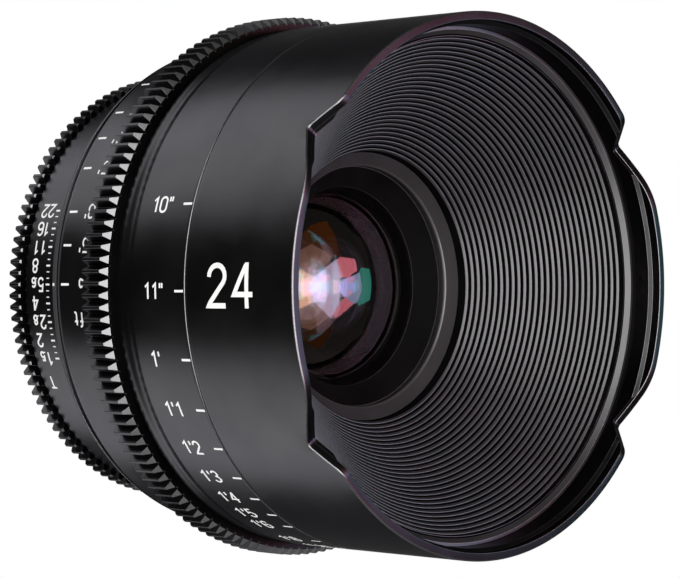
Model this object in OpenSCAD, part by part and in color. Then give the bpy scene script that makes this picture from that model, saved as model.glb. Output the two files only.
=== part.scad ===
// Cinema prime lens of the 24 mm class, lying level and looking along -Y.
// The origin is the centre of the mount flange, on the optical axis.
// Shapes are drawn with z along the axis, forward from the flange, and are then laid down.

/* [Mount] */
// Diameter of the pilot that enters the camera
pilot_d = 54; // [48:0.5:58]
// Length of the pilot behind the flange
pilot_len = 12; // [10:0.5:16]
// Bore of the mount
mount_bore_d = 44; // [40:0.5:46]
// Diameter over the four locking lugs
lug_d = 68; // [64:0.5:74]
// Thickness of the lugs
lug_t = 3.5; // [2.5:0.1:5]
// Angle that each lug spans
lug_arc = 46; // [30:1:60]
// Width of the locating notch in one lug
locating_notch_w = 3.2; // [2:0.1:5]
// Depth of the locating notch
locating_notch_depth = 2.5; // [1:0.1:3.5]
// Diameter of the neck in front of the lugs
neck_d = 59.5; // [56:0.5:62]
// Length of the neck
neck_len = 4; // [3:0.1:6]
// Thickness of the mount plate
plate_t = 2; // [1.8:0.1:4]
// Thickness of the back focus shim
shim_t = 0.3; // [0.1:0.05:0.8]
// Number of mount screws
mount_screw_count = 6; // [3:1:8]

/* [Gears] */
// Module of both gears
gear_module = 0.8; // [0.7:0.05:0.9]
// Teeth on the focus gear
focus_teeth = 147; // [146:1:160]
// Teeth on the iris gear
iris_teeth = 120; // [117:1:122]
// Face width of the iris gear
gear_face = 3.8; // [3:0.1:8]
// Face width of the focus gear
focus_gear_face = 7.2; // [5:0.1:8]
// Thickness of the focus gear's rim under its teeth
gear_rim = 2.3; // [1.5:0.1:2.8]
// Bevel on the front ends of the focus gear's teeth
focus_gear_bevel = 1.35; // [0.5:0.05:2]
// Bevel on the other ends of both gears' teeth
iris_gear_bevel = 0.35; // [0.2:0.05:1.5]
// Turn of the focus gear's teeth at rest, in tooth spacings
focus_tooth_lead = 0.28; // [0:0.01:0.99]
// Turn of the iris gear's teeth at rest, in tooth spacings
iris_tooth_lead = 0.85; // [0:0.01:0.99]

/* [Iris] */
// Number of iris blades
blade_count = 11; // [7:1:11]
// Radius of the iris fully open
open_r = 11; // [9:0.1:12]
// Width of a blade
blade_w = 9; // [8.5:0.1:10]
// Angle that a blade's body spans
blade_arc = 91; // [70:1:100]
// Thickness of a blade
blade_t = 0.2; // [0.1:0.02:0.24]
// Spacing of the blades along the axis
blade_pitch = 0.3; // [0.26:0.02:0.5]
// Distance from a blade's outer edge to its pivot
pivot_gap = 4.5; // [4:0.1:6]
// Distance from a blade's pivot to its drive pin
lever_len = 8; // [7:0.1:8.5]
// Angle that a blade swings from open to closed
blade_swing = 24; // [20:0.5:24.5]
// Angle that the iris ring turns from open to closed
iris_throw = 40; // [36:1:44]
// Radius of the blade pins
blade_pin_r = 0.5; // [0.3:0.05:0.6]
// Thickness of the cam ring
cam_t = 1.8; // [1.6:0.1:3]
// Rim of the cam ring outside its slots
cam_rim = 1.3; // [0.8:0.1:3]
// Thickness of the iris base
iris_base_t = 2.2; // [1.5:0.1:4]
// Wall of the iris base's cup
iris_cup_wall = 1.2; // [0.8:0.1:2]
// Thickness of the iris cover
iris_cover_t = 1; // [0.6:0.1:2]
// Radius of the iris drive pin
drive_pin_r = 0.6; // [0.4:0.05:0.7]
// Length of the iris ring
iris_ring_len = 20.4; // [18:0.1:24]
// Wall of the iris ring under its T scale
iris_ring_wall = 3.35; // [3:0.05:3.5]

/* [Focus] */
// Angle that the focus ring turns from infinity to the near limit
focus_throw = 200; // [150:5:220]
// Travel of the focus carriage over the throw
focus_travel = 3; // [2.5:0.1:4]
// Length of the focus carriage
carriage_len = 14.5; // [13.5:0.1:18]
// Length of the carriage's glass holder
carriage_holder_len = 10.2; // [10:0.1:12]
// Radius of the cam followers
follower_r = 1.5; // [1:0.05:1.6]
// Wall of the focus sleeve
sleeve_wall = 3.95; // [3.5:0.05:5]
// Depth of the helical groove in the sleeve
groove_depth = 2.15; // [1.5:0.05:2.5]
// Length of the focus scale band
band_len = 16.5; // [12:0.1:20]
// Length of the bead between the band and the gear
bead_len = 6.1; // [5:0.1:9]
// Wall of the focus ring under its scale band
band_wall = 3; // [2:0.1:3.5]
// Length of the slight taper on each side of the seam
seam_lead = 0.5; // [0.45:0.05:1]
// Diameter of the rear scale skirt
skirt_d = 109.2; // [107:0.2:110]
// Wall of the skirt
skirt_wall = 2.6; // [2:0.1:4]
// Thickness of the focus ring's inner web
focus_web_t = 4; // [3:0.1:5]
// Number of screws that hold the focus ring to its sleeve
focus_screw_count = 6; // [3:1:8]
// Radius of the focus stop pin
stop_pin_r = 1.5; // [1:0.1:2]

/* [Front] */
// Diameter of the front barrel and the scale band
front_d = 114; // [112:0.5:115]
// Length of the front barrel from its seam to its rim
hood_len = 31.3; // [28:0.1:36]
// Wall of the front barrel
hood_wall = 2.6; // [2:0.1:3]
// Thickness of the front rim
rim_t = 1.8; // [1:0.1:2.4]
// Depth of the stepped rim
rim_step = 2; // [1:0.1:4]
// Bevel on the outer edge of the rim
rim_bevel = 0.45; // [0.2:0.05:0.8]
// Depth of the corner notches in the rim
notch_depth = 5.6; // [3:0.1:6.5]
// Angle of the notches above and below the level
notch_angle = 33.3; // [28:0.1:38]
// Reach of a notch's gentle side, towards the side petal
notch_gentle = 11.5; // [8:0.1:14]
// Reach of a notch's steep side, towards the top or bottom petal
notch_steep = 6.7; // [5:0.1:9]
// Depth of the baffle hole behind the rim
baffle_depth = 38.4; // [36:0.1:44]
// Diameter of the baffle hole
baffle_hole_d = 52.4; // [52:0.2:54]
// Depth of the baffle's outer ridge behind the rim
ridge_depth = 7; // [6.8:0.1:9]
// Wall of the baffle
baffle_wall = 1.8; // [1.2:0.1:2.2]
// Number of grooves in the baffle
groove_count = 27; // [10:1:32]
// Depth of the baffle's grooves
baffle_groove = 0.55; // [0.3:0.05:0.8]
// Number of screws that hold the front barrel
front_screw_count = 8; // [4:1:12]

/* [Glass cells] */
// Radius of the front element
front_glass_r = 24; // [23:0.1:24.5]
// Thickness of the bulged elements at their edges
edge_t = 0.8; // [0.5:0.05:1.2]
// Radius of the second element
second_glass_r = 21; // [20:0.1:21.4]
// Radius of the third element
third_glass_r = 17.5; // [17:0.1:18]
// Radius of the focus carriage's elements
carriage_glass_r = 15.5; // [15:0.1:16]
// Radius of the rear elements
rear_glass_r = 12.5; // [12:0.1:13]
// Length of the front cell
front_cell_len = 24.5; // [24:0.1:28]
// Length of the rear cell in front of the mount plate
rear_cell_len = 11.6; // [11:0.1:16]
// Length of the rear cell's tube behind the mount plate
rear_tube_len = 17.8; // [17:0.1:19]

/* [Barrels] */
// Wall of the main barrel
main_wall = 3.5; // [2.5:0.1:4.5]
// Radius of the rear barrel that the iris ring runs on
rear_barrel_r = 44; // [43.5:0.1:44.5]
// Wall of the rear barrel
rear_barrel_wall = 3.5; // [2:0.1:4]
// Thickness of the rear barrel's front web
rear_web_t = 2.8; // [2:0.1:2.9]
// Diameter of the index ring
index_d = 108.4; // [100:0.2:109]
// Width of the index ring
index_w = 2.4; // [2:0.1:5]
// Depth of the index ring's lip in front of its seat
index_lip = 0.8; // [0:0.1:1.5]
// Bevel at the back of the index ring
index_bevel = 1.5; // [0.5:0.1:2]
// Least step from the T scale up to the index ring
index_step = 4; // [3:0.1:4.5]
// Thickness of the main barrel's front flange
main_flange_t = 6; // [4:0.1:8]
// Thickness of the front barrel's web
front_web_t = 3.5; // [2.5:0.1:5]
// Radius of the screws' shanks
screw_r = 1.25; // [1:0.05:1.5]
// Thickness of the thrust washers
washer_t = 1; // [0.5:0.1:1.5]

/* [Clearances] */
// Radial clearance of turning and sliding fits
run_clear = 0.05; // [0.03:0.01:0.08]
// Radial clearance of seats that don't move
seat_clear = 0.05; // [0.02:0.01:0.08]
// Gap between rings that turn past each other
ring_gap = 0.3; // [0.2:0.05:0.5]
// Clearance of pins in their slots
slot_clear = 0.2; // [0.12:0.01:0.3]
// Gap between touching glass and metal
glass_gap = 0.02; // [0.01:0.01:0.05]

/* [Hidden] */
$fn = 128;
sink = 0.5;
edge_bevel = 0.25;
black = "#1d1d1f";
matt_black = "#121213";
glass_tint = "#9fb8c4";
steel = "#b9bcc0";
brass = "#b08d4a";

// Walls, steps and gaps inside
retainer_w = 4;
cell_wall = 2;
holder_wall = 3;
carriage_wall = 3.4;
carriage_gap = 1;
carriage_web_t = 3;
carriage_foot = 0.4;
nose_gap = 0.8;
shoulder = 1;
lip_h = 1.6;
collar_len = 3;
collar_step = 0.5;
flange_lip = 2.5;
plate_step = 3.2;
web_step = 0.6;
gear_gutter = 1.2;
end_gap = 0.1;
sleeve_flange_t = 4;
bead_step = 0.25;
bead_round = 1.1*bead_len;
mount_web_t = 3.2;
rear_tube_wall = 4.5;
rear_cell_web_t = 4;
rear_baffle_t = 1.2;
mount_seat_step = 2.5;
mount_screw_bite = 2.7;
pilot_bevel = 1;

// Glass: how far seats and clear openings lie inside an element's edge, and thicknesses on the axis
seat_w = 1.2;
seat_narrow = 0.9;
hollow_seat_w = 1.5;
front_seat_w = 2.4;
front_clear_w = 6.5;
second_clear_w = 5;
carriage_clear_w = 2.5;
hollow_t = 1.8;
second_t = 2.5;
front_t = 3;
fourth_t = 1.6;
ninth_t = 2;
lip_t = 1.2;
rear_lip_t = 2.2;
spacer_t = 1;
eighth_spacer_t = 3.7;
hollow_round = 2.5;
third_inset = 1.5;
front_rim_drop = 1.8;
front_land = 0.6;
rear_inset = 1;
air_gap = 0.7;
carriage_retainer_t = 1;
front_retainer_t = 1;
third_retainer_w = 1.5;
retainer_inset = 0.5;

// Radii inside, from the iris outwards
blade_out_r = open_r + blade_w;
pivot_r = blade_out_r + pivot_gap;
lever_angle = 2*asin(lever_len/(2*pivot_r));
half_throw = iris_throw/2;
pin_slot_r = blade_pin_r + slot_clear;
cam_far = cam_point(half_throw);
cam_near = cam_point(-half_throw);
cam_mid = cam_point(0);
cam_slot_out_r = norm(cam_far) + pin_slot_r;
cam_out_r = cam_slot_out_r + cam_rim;
cam_in_r = pivot_r - pin_slot_r - cam_rim;
iris_cup_r = cam_out_r + run_clear + iris_cup_wall;
front_retainer_r = front_glass_r + retainer_w;
iris_bore_r = iris_cup_r + seat_clear;
main_bore_r = max(iris_bore_r - shoulder, front_retainer_r + cell_wall);
main_out_r = max(iris_bore_r, main_bore_r) + main_wall;
sleeve_bore_r = main_out_r + run_clear;
sleeve_out_r = sleeve_bore_r + sleeve_wall;
carriage_r = main_bore_r - run_clear;
front_cell_r = main_bore_r - seat_clear;
rear_cell_r = iris_bore_r - seat_clear;

// Radii outside
front_r = front_d/2;
skirt_r = skirt_d/2;
focus_tip_r = gear_module*(focus_teeth + 2)/2;
focus_root_r = focus_tip_r - 2.25*gear_module;
focus_seat_r = focus_root_r - gear_rim;
iris_tip_r = gear_module*(iris_teeth + 2)/2;
iris_bore = rear_barrel_r + run_clear;
iris_scale_r = iris_bore + iris_ring_wall;
index_r = max(index_d/2, iris_scale_r + index_step);
band_bore_r = front_r - band_wall;
skirt_bore_r = skirt_r - skirt_wall;
main_flange_r = band_bore_r - 2*ring_gap;
pilot_r = pilot_d/2;
neck_r = neck_d/2;
mount_bore_r = mount_bore_d/2;
plate_r = iris_scale_r - plate_step;

// Stations along the axis, from the flange forwards to the focus carriage
z_plate = lug_t + neck_len;
z_shim = z_plate + plate_t;
z_body = z_shim + shim_t;
z_rear_cell = z_body + rear_cell_len;
z_base = z_rear_cell + iris_base_t;
blade_gap = blade_pitch;
z_blades = z_base + blade_gap;
z_cam = z_blades + blade_count*blade_pitch + blade_gap;
z_cam_front = z_cam + cam_t;
z_cover = z_cam_front + slot_clear;
z_cover_front = z_cover + iris_cover_t;
z_carriage = z_cover_front + carriage_gap;
z_carriage_front = z_carriage + carriage_len;

// Places of the carriage's glass
fifth_rear = z_carriage - carriage_gap;
fifth_rear_ball = 50;
fifth_front_ball = 45;
fifth_front = fifth_rear + bulge_t(carriage_glass_r, fifth_front_ball, fifth_rear_ball);
carriage_lip_r = carriage_glass_r - seat_w;
z_carriage_lip = fifth_rear + sag(fifth_rear_ball, carriage_lip_r) - glass_gap;
carriage_spacer_r = carriage_glass_r - hollow_seat_w;
z_carriage_spacer = fifth_front - sag(fifth_front_ball, carriage_spacer_r) + glass_gap;
fourth_clear_r = carriage_glass_r - carriage_clear_w;
fourth_rear_ball = 45;
z_fourth_rim = z_carriage_spacer + spacer_t;
fourth_rear = z_fourth_rim + sag(fourth_rear_ball, fourth_clear_r);
fourth_front = fourth_rear + fourth_t;
fourth_front_ball = 60;
z_fourth_front_rim = fourth_front + sag(fourth_front_ball, fourth_clear_r);

// Stations of the front cell
z_holder = max(z_carriage + carriage_holder_len, z_fourth_front_rim + carriage_retainer_t + end_gap);
z_nose = z_holder + focus_travel + nose_gap;

// Places of the front group's glass, forward from the nose of the front cell
third_rear = z_nose + third_inset;
third_rear_ball = 80;
third_front_ball = 50;
third_front = third_rear + bulge_t(third_glass_r, third_front_ball, third_rear_ball);
lip_r = third_glass_r - seat_narrow;
z_lip = third_front - sag(third_front_ball, lip_r) + glass_gap;
second_rear_ball = 24;
second_clear_r = second_glass_r - second_clear_w;
z_second_rim = z_lip + lip_t;
second_rear = z_second_rim + sag(second_rear_ball, second_clear_r);
second_front = second_rear + second_t;
second_front_ball = 40;
spacer_r = second_glass_r - hollow_seat_w;
front_clear_r = front_glass_r - front_clear_w;
front_rear_ball = front_clear_r + hollow_round;
z_front_rim = second_front - front_rim_drop;
front_rear = z_front_rim + sag(front_rear_ball, front_clear_r);
front_vertex = front_rear + front_t;
front_ball = 45;
z_front_edge = front_vertex - sag(front_ball, front_glass_r);
front_view_r = front_glass_r - front_seat_w;
z_retainer = front_vertex - sag(front_ball, front_view_r) + glass_gap;
third_hold_r = third_glass_r - seat_narrow;
z_third_hold = third_rear + sag(third_rear_ball, third_hold_r) - glass_gap;
third_retainer_r = third_glass_r + third_retainer_w;

// Stations on to the rim, and outside
z_cell = max(z_nose + front_cell_len, z_retainer + front_retainer_t + end_gap);
z_hole = z_cell + lip_h;
z_rim = z_hole + baffle_depth;
z_seam = z_rim - hood_len;
z_collar = z_cell - collar_len;
z_iris = z_shim + ring_gap;
z_iris_front = z_iris + iris_ring_len;
z_index = z_iris_front + ring_gap;
z_index_front = z_index + index_w;
z_index_lip = z_index_front + index_lip;
z_skirt = z_index_lip + ring_gap;
z_band_front = z_seam - ring_gap;
z_band = z_band_front - band_len;
z_gear_front = z_band - bead_len;
z_gear = z_gear_front - focus_gear_face;
z_focus_web = z_gear_front - web_step - focus_web_t;
z_drive = z_cam + cam_t/2;
z_pilot = -pilot_len;
z_tube = z_body - rear_tube_len;
z_sleeve = z_index_front + washer_t + ring_gap/3;
z_sleeve_front = z_collar - washer_t - ring_gap/3;

// Places of the rear group's glass, back from the iris
sixth_front = z_rear_cell - rear_inset;
sixth_front_ball = 30;
sixth_rear_ball = 45;
sixth_rear = sixth_front - bulge_t(rear_glass_r, sixth_front_ball, sixth_rear_ball);
rear_hold_r = rear_glass_r - seat_w;
z_rear_lip = sixth_rear + sag(sixth_rear_ball, rear_hold_r) - glass_gap;
z_sixth_hold = sixth_front - sag(sixth_front_ball, rear_hold_r) + glass_gap;
z_seventh_rim = z_rear_lip - rear_lip_t;
seventh_clear_r = rear_glass_r - hollow_seat_w;
seventh_front_ball = 30;
seventh_front = z_seventh_rim - sag(seventh_front_ball, seventh_clear_r);
cement_ball = 40;
seventh_rear = seventh_front - hollow_t;
eighth_front = seventh_rear - glass_gap;
eighth_rear_ball = 26;
eighth_rear = eighth_front - bulge_t(rear_glass_r, cement_ball, eighth_rear_ball);
z_eighth_hold = eighth_rear + sag(eighth_rear_ball, rear_hold_r) - glass_gap;
z_ninth_rim = z_eighth_hold - eighth_spacer_t;
ninth_ball = 40;
ninth_front = z_ninth_rim - sag(ninth_ball, seventh_clear_r);
ninth_rear = ninth_front - ninth_t;
ninth_rear_ball = 60;
z_ninth_hold = ninth_rear + sag(ninth_rear_ball, rear_hold_r) - glass_gap;
tenth_front = ninth_rear - air_gap;
tenth_front_ball = 50;
z_tenth_hold = tenth_front - sag(tenth_front_ball, rear_hold_r) + glass_gap;
tenth_rear_ball = 35;
tenth_rear = tenth_front - bulge_t(rear_glass_r, tenth_front_ball, tenth_rear_ball);
z_tenth_rear_hold = tenth_rear + sag(tenth_rear_ball, rear_hold_r) - glass_gap;

// Screws and pins
mount_screw_circle = (main_out_r + rear_barrel_r)/2;
screw_land = 4.5;
screw_edge = 4;
front_screw_inset = 12;
screw_bite = 3;
focus_screw_circle = sleeve_out_r + screw_land;
sleeve_flange_r = focus_screw_circle + screw_edge;
front_screw_circle = front_r - front_screw_inset;
head_rim = 0.95;
head_r = screw_r + head_rim;
head_h = 1.5;
socket_share = 0.7;
stop_land = 3;
stop_lug_t = 2.5;
stop_lug_rim = 1;
stop_play = 0.4;
stop_circle = sleeve_out_r + stop_land;
lug_pin_angle = asin(stop_pin_r/stop_circle) + stop_play;
stop_gap = focus_throw + 2*lug_pin_angle;
stop_pin_angle = 60;
index_screw_r = 0.75;
index_screw_bite = 1.9;
index_screw_sunk = index_bevel + 0.1;
index_screw_angles = [0, 75, -75];
drive_lead = 3;
drive_blade = 4;
drive_bite = 1.9;
drive_angle = atan2(cam_far[1], cam_far[0]) - drive_lead + 360/blade_count*drive_blade;
drive_in_r = cam_slot_out_r - drive_bite;
drive_out_r = iris_bore + iris_ring_wall/2;

// Blades
blade_heel = 6;
blade_tab_w = 3.2;
blade_tab_root = 1.5;
lever_w = 2;
rivet_h = 0.04;
base_floor = 0.4;
base_lip = 0.8;
pivot_bore_depth = iris_base_t - base_floor;

// Helical groove: one turn lowers it by the lead
follower_count = 3;
focus_lead = focus_travel*360/focus_throw;
helix_rise = 9.5;
z_helix = z_carriage + helix_rise;
groove_half = follower_r + slot_clear;
groove_r = sleeve_bore_r + groove_depth;
follower_out_r = groove_r - ring_gap;
follower_in_r = carriage_r - carriage_wall;
helix_end = asin(groove_half/sleeve_bore_r) + 1;
helix_first = -focus_throw - helix_end;
helix_last = 360*(follower_count - 1)/follower_count + helix_end;
helix_steps = 60;

// Seam and corner notches
seam_fall = 0.04;
notch_land = 6;
notch_lift = 0.001;
notch_over = 3;
notch_gentle_round = 18;
notch_low_round = 1.4;
notch_steep_round = 4.5;
notch_steps = 14;

// Gear teeth and the bead: shares of the tooth pitch and of the bead's length
tooth_root_half = 0.46;
tooth_tip_half = 0.1;
bead_foot = 0.08;
bead_middle = 0.33;
bead_top = 0.665;
bead_lead = 0.24;
bead_first = -12;
bead_last = 12;
bead_steps = 12;

// Baffle cone, and its groove's corners as shares of the groove pitch
groove_flank = 0.04;
groove_width = 0.37;
groove_lean = 1.4;
baffle_clear = 0.1;
ridge_w = 0.8;
ridge_land = 1.6;
hole_r = baffle_hole_d/2;
ridge_r = front_r - hood_wall - ridge_w;
z_ridge = z_rim - ridge_depth;
cone_slope = (z_ridge - z_hole)/(ridge_r - hole_r);
cone_drop = baffle_wall*sqrt(1 + cone_slope*cone_slope);
lip_w = 2.8;
groove_pitch = (ridge_r - ridge_land - hole_r - lip_w)/groove_count;
hood_bore_r = front_r - hood_wall;
ledge_t = 2;
flange_t = 1;
web_clear = 2;
rim_slope = 0.6;
z_ledge = z_ridge - flange_t;
front_web_r = hole_r + (z_seam + front_web_t + cone_drop + web_clear - z_hole)/cone_slope;

// Place of a blade's drive pin, seen on the cam ring, for an angle of the iris ring from rest
function turned(p, a) = [p[0]*cos(a) - p[1]*sin(a), p[0]*sin(a) + p[1]*cos(a)];
function blade_pin(swing) =
    [pivot_r, 0] + turned(turned([pivot_r, 0], -lever_angle) - [pivot_r, 0], swing);
function cam_point(a) = turned(blade_pin(blade_swing*(a + half_throw)/iris_throw), -a);

// Centre of the circle through three points
function cross2(a, b) = a[0]*b[1] - a[1]*b[0];
function circle_centre(a, b, c) =
    let (p = b - a, q = c - a, d = 2*cross2(p, q))
    a + [q[1]*(p*p) - p[1]*(q*q), p[0]*(q*q) - q[0]*(p*p)]/d;

// Height of a ball's surface over its vertex plane
function sag(ball, r) = ball - sqrt(ball*ball - r*r);

// Thickness on the axis of an element that bulges on both sides
function bulge_t(r, ball, rear_ball) = sag(ball, r) + sag(rear_ball, r) + edge_t;

// Points of an arc, and a corner rounded between two neighbours
function arc(c, r, a0, a1, n) = [for (i = [0:n]) c + r*[cos(a0 + (a1 - a0)*i/n), sin(a0 + (a1 - a0)*i/n)]];
function unit(v) = v/norm(v);
function rounded(p, at, q, r, n) =
    let (u = unit(p - at), v = unit(q - at), h = acos(u*v)/2, m = unit(u + v),
         c = at + m*r/sin(h), s = at + u*r/tan(h) - c, e = at + v*r/tan(h) - c,
         a0 = atan2(s[1], s[0]), turn = atan2(cross2(s, e), s*e))
    arc(c, r, a0, a0 + turn, n);

// Lays the axis down, so that the lens looks along -Y
module laid() {
    rotate([90, 0, 0]) children();
}

module turn_profile(points) {
    rotate_extrude($fn = 180) polygon(points);
}

module tube(outer, inner, low, high) {
    difference() {
        translate([0, 0, low]) cylinder(r = outer, h = high - low);
        translate([0, 0, low - sink]) cylinder(r = inner, h = high - low + 2*sink);
    }
}

module around(count, circle, first = 0) {
    for (i = [0:count - 1])
        rotate([0, 0, first + i*360/count]) translate([circle, 0, 0]) children();
}

// Sector of a ring, from one angle over a span
module sector(inner, outer, low, high, first, span) {
    rotate([0, 0, first])
        rotate_extrude(angle = span, $fn = 180)
            translate([inner, low]) square([outer - inner, high - low]);
}

// Radial pin or hole at an angle and a height
module radial(r, inner, outer, angle, z) {
    rotate([0, 0, angle]) translate([inner, 0, z]) rotate([0, 90, 0]) cylinder(r = r, h = outer - inner);
}

// Slot for a radial pin that swings half an angle each way
module swing_slot(r, inner, outer, half, z) {
    span = half + asin(r/inner);
    sector(inner, outer, z - r, z + r, drive_angle - span, 2*span);
}

module screw(low, high) {
    translate([0, 0, low]) cylinder(r = screw_r, h = high - low + sink);
    difference() {
        translate([0, 0, high]) cylinder(r = head_r, h = head_h);
        translate([0, 0, high + head_h/2]) cylinder(r = screw_r*socket_share, h = head_h, $fn = 6);
    }
}

module screw_hole(low, high) {
    translate([0, 0, low]) cylinder(r = screw_r + seat_clear, h = high - low);
}

// Involute-like gear outline of straight-flanked teeth
module gear_outline(teeth, lead) {
    tip = gear_module*(teeth + 2)/2;
    root = tip - 2.25*gear_module;
    step = 360/teeth;
    polygon([for (i = [0:teeth - 1], p = [[root, -tooth_root_half], [tip, -tooth_tip_half],
            [tip, tooth_tip_half], [root, tooth_root_half]])
        p[0]*[cos((i + lead + p[1])*step), sin((i + lead + p[1])*step)]]);
}

// Envelope that bevels a gear's two ends
module gear_envelope(tip, low, high, low_bevel, high_bevel) {
    turn_profile([[0, low], [tip - low_bevel, low], [tip, low + low_bevel], [tip, high - high_bevel],
        [tip - high_bevel, high], [0, high]]);
}

// Glass elements. A face is a ball's radius, positive where it bulges and negative where it is hollow.
module bulged_end(edge_r, vertex, ball, low) {
    intersection() {
        translate([0, 0, low]) cylinder(r = edge_r, h = vertex - low);
        translate([0, 0, vertex - ball]) sphere(r = ball);
    }
}

// Bulged in front, hollow behind, with a flat rim behind
module front_bulge(edge_r, vertex, ball, rear_vertex, rear_ball, rear_clear_r) {
    difference() {
        bulged_end(edge_r, vertex, ball, rear_vertex - sag(rear_ball, rear_clear_r));
        translate([0, 0, rear_vertex - rear_ball]) sphere(r = rear_ball);
    }
}

// Bulged on both sides
module double_bulge(edge_r, vertex, ball, rear_vertex, rear_ball) {
    intersection() {
        translate([0, 0, rear_vertex]) cylinder(r = edge_r, h = vertex - rear_vertex);
        translate([0, 0, vertex - ball]) sphere(r = ball);
        translate([0, 0, rear_vertex + rear_ball]) sphere(r = rear_ball);
    }
}

// Hollow on both sides, with flat rims
module double_hollow(edge_r, vertex, ball, clear_r, rear_vertex, rear_ball, rear_clear_r) {
    low = rear_vertex - sag(rear_ball, rear_clear_r);
    high = vertex + sag(ball, clear_r);
    difference() {
        translate([0, 0, low]) cylinder(r = edge_r, h = high - low);
        translate([0, 0, vertex + ball]) sphere(r = ball);
        translate([0, 0, rear_vertex - rear_ball]) sphere(r = rear_ball);
    }
}

// Hollow in front with a flat rim, bulged behind
module rear_bulge(edge_r, vertex, ball, clear_r, rear_vertex, rear_ball) {
    high = vertex + sag(ball, clear_r);
    difference() {
        intersection() {
            translate([0, 0, rear_vertex]) cylinder(r = edge_r, h = high - rear_vertex);
            translate([0, 0, rear_vertex + rear_ball]) sphere(r = rear_ball);
        }
        translate([0, 0, vertex + ball]) sphere(r = ball);
    }
}

// Front barrel

// One corner notch, cut outwards from the axis: gentle on its first side and steep on the other
module corner_notch() {
    left = [-notch_gentle, notch_depth];
    low = [0, 0];
    right = [notch_steep, notch_depth];
    first = [-notch_gentle - notch_land, notch_depth];
    last = [notch_steep + notch_land, notch_depth];
    lift = [0, notch_lift];
    over = [0, notch_over];
    rotate([90, 0, 90])
        linear_extrude(height = front_r + sink)
            polygon(concat(
                [first + over, first + lift],
                rounded(first, left, low, notch_gentle_round, notch_steps),
                rounded(left, low, right, notch_low_round, notch_steps),
                rounded(low, right, last, notch_steep_round, notch_steps),
                [last + lift, last + over]));
}

module front_barrel() {
    color(black) laid() difference() {
        turn_profile([
            [front_web_r, z_seam], [front_r - seam_fall - edge_bevel, z_seam],
            [front_r - seam_fall, z_seam + edge_bevel], [front_r, z_seam + edge_bevel + seam_lead],
            [front_r, z_rim - rim_bevel], [front_r - rim_bevel, z_rim], [front_r - rim_t, z_rim],
            [front_r - rim_t, z_rim - rim_step], [hood_bore_r, z_rim - rim_step - rim_slope],
            [hood_bore_r, z_ledge], [hood_bore_r - ledge_t, z_ledge],
            [hood_bore_r - ledge_t, z_ledge - ledge_t], [hood_bore_r, z_ledge - 2*ledge_t],
            [hood_bore_r, z_seam + front_web_t], [front_web_r, z_seam + front_web_t]]);
        for (side = [0, 180], up = [0, 1])
            rotate([0, 0, side])
                mirror([0, up, 0])
                    rotate([0, 0, notch_angle]) translate([0, 0, z_rim - notch_depth]) corner_notch();
        around(front_screw_count, front_screw_circle) screw_hole(z_seam - sink, z_seam + front_web_t + sink);
    }
}

module front_barrel_screws() {
    color(steel) laid() around(front_screw_count, front_screw_circle)
        screw(z_seam - main_flange_t + shoulder, z_seam + front_web_t);
}

// Cone height at a radius
function cone_z(r) = z_hole + (r - hole_r)*cone_slope;

module front_baffle() {
    first = hole_r + lip_w;
    ledge_in = hood_bore_r - ledge_t - baffle_clear;
    foot_r = front_cell_r + shoulder;
    foot_z = z_cell + lip_h - 2*baffle_clear;
    foot_meet = hole_r + (foot_z + cone_drop - z_hole)/cone_slope;
    color(matt_black) laid() turn_profile(concat(
        [[hole_r, z_cell], [hole_r, z_hole]],
        [for (i = [0:groove_count - 1],
              p = [[0, 0], [groove_flank, 1], [groove_width - groove_flank, 1], [groove_width, 0]])
            let (r = first + (i + p[0])*groove_pitch) [r, cone_z(r) - p[1]*baffle_groove*groove_lean]],
        [[ridge_r, z_ridge], [hood_bore_r - baffle_clear, z_ridge], [hood_bore_r - baffle_clear, z_ledge],
         [ledge_in, z_ledge],
         [ledge_in, cone_z(ledge_in) - cone_drop], [foot_meet, foot_z], [foot_r, foot_z], [foot_r, z_cell]]));
}

// Front group

module front_retainer() {
    color(matt_black) laid() turn_profile([
        [front_view_r, z_retainer], [front_retainer_r, z_retainer], [front_retainer_r, z_cell - end_gap],
        [min(hole_r - end_gap, front_retainer_r - shoulder), z_cell - end_gap]]);
}

module front_cell() {
    nose_r = max(third_retainer_r, second_glass_r) + third_retainer_w;
    z_nose_top = z_second_rim + spacer_t;
    color(black) laid() turn_profile([
        [third_retainer_r + seat_clear, z_nose], [nose_r, z_nose], [nose_r, z_nose_top],
        [front_cell_r, z_nose_top], [front_cell_r, z_cell - shoulder],
        [front_cell_r + shoulder, z_cell - shoulder], [front_cell_r + shoulder, z_cell],
        [front_retainer_r + seat_clear, z_cell], [front_retainer_r + seat_clear, z_front_edge + front_land],
        [front_glass_r + seat_clear, z_front_edge + front_land], [front_glass_r + seat_clear, z_front_rim],
        [second_glass_r + seat_clear, z_front_rim], [second_glass_r + seat_clear, z_second_rim],
        [lip_r, z_second_rim], [lip_r, z_lip], [third_glass_r + seat_clear, z_lip],
        [third_glass_r + seat_clear, z_third_hold], [third_retainer_r + seat_clear, z_third_hold]]);
}

module front_element() {
    color(glass_tint) laid()
        front_bulge(front_glass_r, front_vertex, front_ball, front_rear, front_rear_ball, front_clear_r);
}

module second_element() {
    color(glass_tint) laid()
        front_bulge(second_glass_r, second_front, second_front_ball, second_rear, second_rear_ball,
            second_clear_r);
}

module second_spacer() {
    low = second_front - sag(second_front_ball, spacer_r) + glass_gap;
    color(matt_black) laid() tube(second_glass_r, spacer_r, low, z_front_rim);
}

module third_element() {
    color(glass_tint) laid()
        double_bulge(third_glass_r, third_front, third_front_ball, third_rear, third_rear_ball);
}

module third_retainer() {
    color(matt_black) laid() tube(third_retainer_r, third_hold_r, z_nose + retainer_inset, z_third_hold);
}

// Main barrel

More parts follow.
